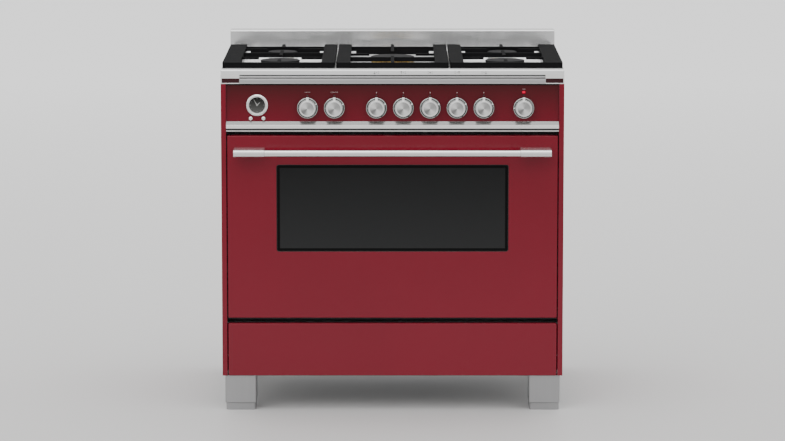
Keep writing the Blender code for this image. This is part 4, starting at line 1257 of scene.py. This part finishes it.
@dataclass
class OvenDoor:
    """The door's panels, panes and handle."""

    margin: float = 0.014
    bead: float = 0.0016
    border: float = 0.0080

    def build(self) -> None:
        """Make the door."""
        refined("door_outer_panel", RED, "oven_door", 0.0010)
        low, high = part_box("door_window_glass")
        centre = middle("door_window_glass")
        half = ((high[0] - low[0]) / 2 - self.margin, (high[2] - low[2]) / 2 - self.margin)
        spot = (centre[0], centre[2])
        dress_node("door_window_glass", DarkGlass("window glass", (0.0095, 0.0098, 0.0100), spot, half))
        self.build_bead(half, spot)
        refined("door_inner_panel", OVEN_GREY, "oven_door", 0.0008)
        dress_node("door_inner_glass", DarkGlass("inner glass", (0.012, 0.013, 0.014), spot, (1, 1)))
        refined("handle_bar", BAR_STEEL, "oven_door", 0.0006)
        for node in ("handle_post_left", "handle_post_right"):
            refined(node, SLEEVE_STEEL, "oven_door", 0.0008)

    def build_bead(self, half: tuple[float, float], centre: tuple[float, float]) -> None:
        """The rubber bead round the window's opening, and the black border on the glass inside it."""
        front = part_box("door_outer_panel")[0][1]
        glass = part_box("door_window_glass")[0][1]
        outer, bead, border = (
            moved(rounded_rectangle(half[0] - inset, half[1] - inset, radius), *centre)
            for inset, radius in ((0.0002, 0.0058), (self.bead, 0.0044), (self.border, 0.0030))
        )
        loops = frame_loops(Axis.Y, outer, bead, glass - 0.0002, front + 0.0010)
        lofted("window_bead", loops, BLACK_PRINT_RUBBER_AND_SHADE, "oven_door", bevel=0.0003, ring=True)
        loops = frame_loops(Axis.Y, outer, border, glass - 0.0001, glass - 0.0003)
        lofted("window_border", loops, INK, "oven_door", ring=True)


@dataclass
class Drawer:
    """The storage drawer."""

    def build(self) -> None:
        """Make the drawer."""
        refined("drawer_front", RED, "storage_drawer", 0.0008)
        refined("drawer_box", ZINC, "storage_drawer", 0.0005)


class KnobKind(Enum):
    """What a knob sets, which decides its marks."""

    BURNER = "burner"
    OVEN = "oven"
    TIMER = "timer"


@dataclass
class Knob:
    """One control knob: a grooved skirt, a spun cap, a white pointer and printed marks."""

    name: str
    kind: KnobKind
    length: float = 0.025
    skirt: float = 0.008
    cap_radius: float = 0.0209
    ring: float = 0.0036
    pull_in: float = 0.0012
    bore: float = 0.0035
    sleeve: float = 0.006
    bore_depth: float = 0.006
    dot_inset: float = 0.0068
    pointer_half: float = 0.0032

    def build(self) -> None:
        """Make the knob's pieces."""
        self.centre, radius, self.tip, self.rear = turned_box(self.name, Axis.Y)
        self.radius = radius - self.pull_in
        self.face = self.tip + self.length - self.skirt
        self.build_skirt()
        self.build_cap()
        self.build_pointer()
        self.build_marks()

    def build_skirt(self) -> None:
        """The skirt, with two turned grooves in its face, on its sleeve or shaft."""
        back = self.tip + self.length
        face, radius = self.face, self.radius
        if self.kind is KnobKind.BURNER:
            floor = back - self.bore_depth
            start = [(0.0, floor), (self.bore, floor), (self.bore, self.rear), (self.sleeve, self.rear)]
        else:
            start = [(0.0, self.rear), (self.sleeve, self.rear)]
        corners = ((radius - 0.004, back), (radius, back), (radius, face), (radius - 0.004, face))
        rim = arc_profile(corners, 0.0013)
        groove = []
        steps = ((0.0005, 0.0), (0.0002, 0.0006), (-0.0002, 0.0006), (-0.0005, 0.0))
        for at in (radius - 0.0026, self.cap_radius + 0.0022):
            groove += [(at + across, face + depth) for across, depth in steps]
        end = [(self.cap_radius - 0.002, face), (0.0, face)]
        profile = start + [(self.sleeve, back)] + rim.tolist() + groove + end
        self.add_round("skirt", profile, SKIRT_METAL, (self.name,))

    def add_round(
        self,
        word: str,
        profile: Array | Sequence,
        finish: object,
        replaces: Sequence[str] = (),
        ring: bool = False,
    ) -> None:
        """Add a turned piece of the knob about its centre line."""
        name = f"{self.name}_{word}"
        turned_piece(name, self.centre, profile, 72, finish, self.name, replaces, ring=ring)

    def build_cap(self) -> None:
        """The cap: a straight side, a bright rounded rim and a shallow dished face."""
        radius, tip, face = self.cap_radius, self.tip, self.face
        foot = (radius + 0.0012, face + 0.0004)
        side = arc_profile((foot, (radius, face - 0.0012), (radius, tip), (radius - 0.003, tip)), 0.0011)
        face_radius = radius - self.ring
        dish = [(face_radius + 0.0002, tip + 0.0005), (0.0, tip + 0.0006)]
        self.add_round("rim", [(0.0, face + 0.0004)] + side.tolist() + dish, CHROME)
        disc = [(face_radius, tip + 0.0009), (face_radius - 0.0002, tip + 0.0002), (0.0, tip + 0.0003)]
        finish = Spun(f"spun face of {self.name}", (0.92, 0.92, 0.91), self.centre)
        self.add_round("face", [(0.0, tip + 0.0010)] + disc, finish)
        near, wide = radius + 0.0003, radius + 0.0009
        ring = ((near, face + 0.0004), (near, face - 0.0003), (wide, face - 0.0003), (wide, face + 0.0004))
        self.add_round("shadow_ring", ring, BLACK_PRINT_RUBBER_AND_SHADE, ring=True)
        place = (self.centre[0], self.centre[1] + radius - self.dot_inset)
        dot = turned(Axis.Y, place, ((0.0010, tip + 0.0006), (0.0008, tip)), 20)
        lofted(f"{self.name}_dot", dot, BLACK_PRINT_RUBBER_AND_SHADE, self.name)

    def build_pointer(self) -> None:
        """The white pointer from the cap to the edge of the skirt, at twelve."""
        start, end = self.cap_radius - 0.0030, self.radius + self.pull_in
        outline = rounded_rectangle(self.pointer_half, (end - start) / 2, 0.0009, 4)
        outline = moved(outline, self.centre[0], self.centre[1] + (start + end) / 2)
        loops = straight(Axis.Y, outline, self.face + 0.0012, self.face - 0.0030, 0.0004)
        lofted(f"{self.name}_pointer", loops, WHITE, self.name)

    def arc_mark(self, name: str, start: float, end: float, finish: object) -> None:
        """A mark on the skirt between two clock directions in degrees."""
        turn = np.radians(np.linspace(start, end, max(2, int(abs(end - start) / 6) + 1)))
        way = np.stack([np.sin(turn), np.cos(turn)], -1)
        edge = np.concatenate([way * (self.radius - 0.0008), way[::-1] * (self.cap_radius + 0.0026)])
        loops = straight(Axis.Y, moved(edge, *self.centre), self.face + 0.0003, self.face - PRINT)
        lofted(name, loops, finish, self.name)

    def build_marks(self) -> None:
        """The printed marks round the skirt."""
        grey = GREY_PRINT
        marks = {
            KnobKind.BURNER: ((60, 68, WHITE), (140, 152, BLACK_PRINT_RUBBER_AND_SHADE), (176, 184, grey), (262, 274, grey)),
            KnobKind.OVEN: ((62, 68, WHITE), (137, 143, grey), (177, 183, grey), (267, 273, grey)),
            KnobKind.TIMER: ((30, 118, grey), (177, 183, grey), (222, 228, grey), (267, 273, WHITE)),
        }
        for index, (start, end, finish) in enumerate(marks[self.kind], 1):
            self.arc_mark(f"{self.name}_mark_{index}", start, end, finish)


@dataclass
class Clock:
    """The clock: bezel, dial, two hands and two setting buttons."""

    barrel: float = 0.0245
    dial_radius: float = 0.0213
    dome: float = 0.0030
    flange: float = 0.0045

    def build(self) -> None:
        """Make the clock."""
        self.centre, self.radius, self.tip, self.rear = turned_box("clock_case", Axis.Y)
        self.face = float(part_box("control_panel")[0][1])
        self.build_case()
        self.build_dial()
        for hand in ("clock_hour_hand", "clock_minute_hand"):
            refined(hand, PALE_STEEL, hand, 0.0001)
        for side in ("left", "right"):
            self.build_button(f"clock_button_{side}")

    def build_case(self) -> None:
        """The case: a barrel behind the panel and a bezel that rounds over and falls to the dial."""
        face, tip = self.face, self.tip
        bezel = arc_profile(
            (
                (self.barrel, face - 0.0003),
                (self.radius, face - 0.0003),
                (self.radius, face - 0.0028),
                (self.radius - 0.0030, tip),
                (self.dial_radius + 0.0016, tip),
                (self.dial_radius, tip + 0.0020),
                (self.dial_radius, face + 0.0010),
            ),
            0.0009,
        )
        profile = np.vstack([[(0.0, self.rear), (self.barrel, self.rear)], bezel, [(0.0, face + 0.0010)]])
        replaced = ("clock_case",)
        turned_piece("clock_bezel", self.centre, profile, 96, CHROME, "cabinet", replaced)

    def build_dial(self) -> None:
        """The black dial, paler towards its foot as a painted reflection, with twelve printed marks."""
        level, radius = self.face + 0.0009, self.dial_radius - 0.0002
        disc = ((0.0, level + 0.0004), (radius, level + 0.0004), (radius, level), (0.0, level))
        turned_piece("clock_dial", self.centre, disc, 64, DIAL_PAINTED_REFLECTION, "cabinet")
        ticks = Shape()
        for hour in range(12):
            turn = math.radians(30 * hour)
            half = (0.0004, 0.0012) if hour % 3 else (0.0006, 0.0016)
            bar = moved(rounded_rectangle(*half, 0.0002, 2), 0.0, self.dial_radius - 0.0036)
            spin = np.array([[math.cos(turn), -math.sin(turn)], [math.sin(turn), math.cos(turn)]])
            outline = bar @ spin + np.array(self.centre)
            ticks.loft(straight(Axis.Y, outline, level + 0.0001, level - 0.0001))
        add_piece("clock_marks", ticks.mesh("clock_marks"), GREY_PRINT, "cabinet")

    def build_button(self, node: str) -> None:
        """A setting button: shaft, flange and a domed tip (a circle's arc)."""
        centre, radius, tip, rear = turned_box(node, Axis.Y)
        turn = np.linspace(0, math.pi / 2, 8)
        dome = np.stack([radius * np.cos(turn), tip + self.dome - self.dome * np.sin(turn)], axis=-1)
        shaft, flange = radius - 0.0015, tip + self.flange
        profile = np.vstack([[(0.0, rear), (shaft, rear), (shaft, flange), (radius, flange)], dome])
        profile[-1, 0] = 0.0
        turned_piece(f"{node}_domed", centre, profile, 40, CHROME, node, (node,))


@dataclass
class Controls:
    """The control panel with its knobs, clock, indicator and print."""

    indicator_rise: float = 0.0413
    dark_mark_rise: float = 0.0322
    word_rise: float = 0.0400
    timer_lift: float = 0.0085

    def build(self) -> None:
        """Make the controls."""
        refined("control_panel", PANEL_RED_PAINTED_SHADE, "cabinet", 0.0006)
        Clock().build()
        for joint in frame["joints"]:
            child = joint["child"]
            if child.startswith("burner_knob"):
                Knob(child, KnobKind.BURNER).build()
            elif child.endswith("_knob"):
                Knob(child, KnobKind.TIMER if child.startswith("timer") else KnobKind.OVEN).build()
        self.build_indicator()
        self.build_print()

    def build_indicator(self) -> None:
        """The indicator over the last knob: a small rounded lens."""
        face = float(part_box("control_panel")[0][1])
        centre = middle("timer_knob")
        place = (centre[0], centre[2] + self.indicator_rise)
        outline = rounded_rectangle(0.0042, 0.0032, 0.0020, 6)
        lens = straight(Axis.Y, moved(outline, *place), face + 0.0010, face - 0.0012, 0.0008)
        lofted("indicator_lens", lens, INDICATOR, "cabinet")

    def build_print(self) -> None:
        """A small dark mark over every knob and, above it, a pale tick or the word for what the knob sets."""
        face = float(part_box("control_panel")[0][1])
        words = {"oven_function_knob": "FUNCTION", "oven_temperature_knob": "TEMPERATURE"}
        words["timer_knob"] = "TIMER"
        dark_marks, ticks = Shape(), Shape()
        for joint in frame["joints"]:
            child = joint["child"]
            if not (child in words or child.startswith("burner_knob")):
                continue
            x, _, z = middle(child)
            outline = moved(rounded_rectangle(0.0022, 0.0017, 0.0006, 3), x, z + self.dark_mark_rise)
            dark_marks.loft(straight(Axis.Y, outline, face + 0.0002, face - PRINT))
            if child in words:
                rise = self.word_rise + (self.timer_lift if child == "timer_knob" else 0.0)
                lettered(f"{child}_word", words[child], (x, face - 0.00010, z + rise), PALE_PRINT)
            else:
                outline = moved(rounded_rectangle(0.0007, 0.0016, 0.0003, 2), x, z + self.word_rise)
                ticks.loft(straight(Axis.Y, outline, face + 0.0002, face - PRINT))
        add_piece("knob_dark_marks", dark_marks.mesh("knob_dark_marks"), BLACK_PRINT_RUBBER_AND_SHADE, "cabinet")
        add_piece("knob_ticks", ticks.mesh("knob_ticks"), PALE_PRINT, "cabinet")


@dataclass
class Oven:
    """The oven's inside, with the broil element under its roof and the lamp on its back wall."""

    roof: float = 0.690
    element_drop: float = 0.022
    tube: float = 0.0033
    reach: float = 0.290
    front: float = -0.165
    turn_back: float = 0.115
    legs: int = 6
    bend: float = 0.035
    hanger_front: float = -0.120
    hanger_back: float = 0.070
    lamp_radius: float = 0.024
    lamp_shift: tuple[float, float] = (0.085, -0.030)
    lamp_dome: float = 0.014

    def build(self) -> None:
        """Make the oven."""
        self.build_element()
        self.build_lamp()
        refined("oven_cavity", OVEN_GREY, "cabinet", 0.001)
        refined("fan_cover", OVEN_GREY, "cabinet", 0.0006)
        refined("oven_rack", RACK_CHROME, "cabinet", 0.001)
        refined("convection_fan", ALUMINIUM, "convection_fan", 0.0005)
        refined("door_gasket", SEAL, "cabinet", 0.002)
        for side in ("left", "right"):
            refined(f"hinge_arm_{side}", ZINC, "cabinet", 0.0006)

    def build_element(self) -> None:
        """The broil element: a tube that winds to and fro from the back wall, hung from two plates.

        A ring of the tube is centre + r * (cos * side + sin * up), with side level and square to the path.
        """
        wall = float(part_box("fan_cover")[1][1])
        level = self.roof - self.element_drop
        across = np.linspace(-self.reach, self.reach, self.legs)
        corners = [(across[0], wall), (across[0], self.front)]
        for leg in range(1, self.legs - 1):
            ends = (self.front, self.turn_back) if leg % 2 else (self.turn_back, self.front)
            corners += [(across[leg], ends[0]), (across[leg], ends[1])]
        corners += [(across[-1], self.front), (across[-1], wall)]
        path = arc_profile(corners, self.bend, 10)
        way = np.gradient(path, axis=0)
        way /= np.linalg.norm(way, axis=1, keepdims=True)
        side = np.stack([way[:, 1], -way[:, 0]], axis=-1)
        turn = np.linspace(0, TAU, 12, endpoint=False)
        flat = path[:, None] + side[:, None] * np.cos(turn)[None, :, None] * self.tube
        loops = Axis.Z.place(flat[..., 0], flat[..., 1], level + self.tube * np.sin(turn)[None, :])
        lofted("broil_element", loops, ELEMENT, "cabinet")
        hangers = Shape()
        outline = rounded_rectangle(0.0007, (self.element_drop - self.tube) / 2, 0.0003, 2)
        for place in (self.hanger_front, self.hanger_back):
            centre = (place, level + (self.element_drop + self.tube) / 2)
            hangers.loft(straight(Axis.X, moved(outline, *centre), -self.reach - 0.01, self.reach + 0.01))
        add_piece("element_hangers", hangers.mesh("element_hangers"), ZINC, "cabinet")

    def build_lamp(self) -> None:
        """The lamp: a steel ring and a ribbed glass dome on the back wall, beside the fan."""
        _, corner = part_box("fan_cover")
        wall, radius = float(corner[1]), self.lamp_radius
        centre = (float(corner[0]) + self.lamp_shift[0], float(corner[2]) + self.lamp_shift[1])
        lip, hole = wall - 0.006, radius - 0.005
        ring = arc_profile(((radius, wall), (radius, lip), (hole, lip), (hole, wall)), 0.0015)
        turned_piece("lamp_ring", centre, ring, 48, RACK_CHROME, "cabinet", ring=True)
        turn = np.linspace(0, math.pi / 2, 15)
        ripple = 1 + 0.025 * np.cos(turn * 24)
        tips = wall - 0.002 - self.lamp_dome * np.sin(turn)
        dome = np.stack([(radius - 0.0056) * np.cos(turn) * ripple, tips], axis=-1)
        dome[-1, 0] = 0.0
        profile = np.vstack([[(0.0, wall - 0.0005), (radius - 0.006, wall - 0.0005)], dome])
        turned_piece("lamp_glass", centre, profile, 48, LAMP, "cabinet")


@dataclass
class Burner:
    """One burner: a cast head with a ring of ports, an enamelled cap and its spark electrode."""

    name: str
    finish: object
    slot: str
    step: float = 0.006
    rise: float = 0.0203
    port_low: float = 0.0170
    port_depth: float = 0.0022
    pitch: float = 0.0048

    def build(self) -> None:
        """Make the burner's pieces."""
        self.centre, self.radius, self.foot, self.crown = turned_box(f"burner_head_{self.name}", Axis.Z)
        self.floor = self.foot + self.rise
        self.neck = self.radius - self.step
        self.build_head()
        self.build_cap()
        self.build_electrode()

    def build_head(self) -> None:
        """The head: its neck's radius drops by the port depth wherever the angle falls in a port."""
        ports = int(TAU * self.neck / self.pitch)
        steps = ports * 4
        gap = np.where(np.arange(steps) % 4 < 2, 0.0, self.port_depth)
        neck, radius, floor = self.neck, self.radius, self.floor
        low = floor + self.port_low - 0.0003
        crown = self.crown
        rows = [(0.0, self.foot), (0.0118, self.foot), (0.0118, floor), (radius - 0.0008, floor)]
        rows += [(radius, floor + 0.0008), (radius, floor + 0.0070), (radius - 0.0010, floor + 0.0086)]
        rows += [(neck + 0.0022, floor + 0.0106), (neck + 0.0006, floor + 0.0122), (neck, floor + 0.0134)]
        rows += [(neck, low), (neck - gap, low), (neck - gap, crown - 0.0012), (neck, crown - 0.0012)]
        rows += [(neck, crown), (0.0, crown)]
        node = f"burner_head_{self.name}"
        loops = radial(self.centre, rows, steps)
        lofted(f"{node}_cast", loops, self.finish, "cabinet", (node,), capped=False)

    def build_cap(self) -> None:
        """The cap: a rounded edge and a low crown."""
        node = f"burner_cap_{self.name}"
        _, radius, bottom, top = turned_box(node, Axis.Z)
        corners = ((radius - 0.004, bottom), (radius, bottom), (radius, top - 0.0012), (radius - 0.012, top))
        edge = arc_profile(corners, 0.0022, 8)
        self.add_round(
            f"{node}_domed",
            np.vstack([[(0.0, bottom)], edge, [(radius * 0.5, top)], [(0.0, top)]]),
            96,
            CAP_ENAMEL,
            "black_enamel",
            (node,),
        )

    def add_round(
        self,
        name: str,
        profile: Array | Sequence,
        steps: int,
        finish: object,
        slot: str,
        replaces: Sequence[str] = (),
        centre: Sequence[float] | None = None,
    ) -> None:
        """Add an upright turned piece, about the burner's centre line or another one."""
        centre = centre or self.centre
        turned_piece(name, centre, profile, steps, finish, "cabinet", replaces, axis=Axis.Z)

    def build_electrode(self) -> None:
        """The spark electrode beside the head: a ceramic sleeve and a metal tip."""
        reach = (self.radius + 0.0052) * math.sqrt(0.5)
        place = (self.centre[0] + reach, self.centre[1] - reach)
        top = self.crown - 0.0060
        sleeve = ((0.0, self.floor), (0.0034, self.floor), (0.0034, top - 0.001), (0.0026, top), (0.0, top))
        self.add_round(f"electrode_{self.name}", sleeve, 24, CERAMIC, "hand_white", centre=place)
        tip = ((0.0, top - 0.001), (0.0010, top - 0.001), (0.0010, self.crown - 0.001), (0.0, self.crown))
        self.add_round(f"electrode_tip_{self.name}", tip, 16, CHROME, "control_metal", centre=place)


@dataclass
class Gas:
    """Gas rail, stems, burners and grates."""

    def build(self) -> None:
        """Make the gas parts."""
        refined("gas_manifold", ALUMINIUM, "cabinet", 0.0006)
        for name in ("left_front", "left_rear", "centre", "right_rear", "right_front"):
            dress_node(f"valve_stem_{name}", BRASS)
            finish, slot = (BRASS, "brass") if name == "centre" else (HEAD_METAL, "aluminium")
            Burner(name, finish, slot).build()
        for name in ("grate_left", "grate_centre", "grate_right"):
            refined(name, IRON, name, 0.0018)


def main() -> None:
    """Make the stage, then every sub-assembly in order."""
    logging.basicConfig(level=logging.INFO, format="%(message)s")
    Stage().build()
    for assembly in (Casing(), Cooktop(), OvenDoor(), Drawer(), Controls(), Oven(), Gas()):
        LOG.info("-- %s", type(assembly).__name__)
        assembly.build()


if __name__ == "__main__":
    main()
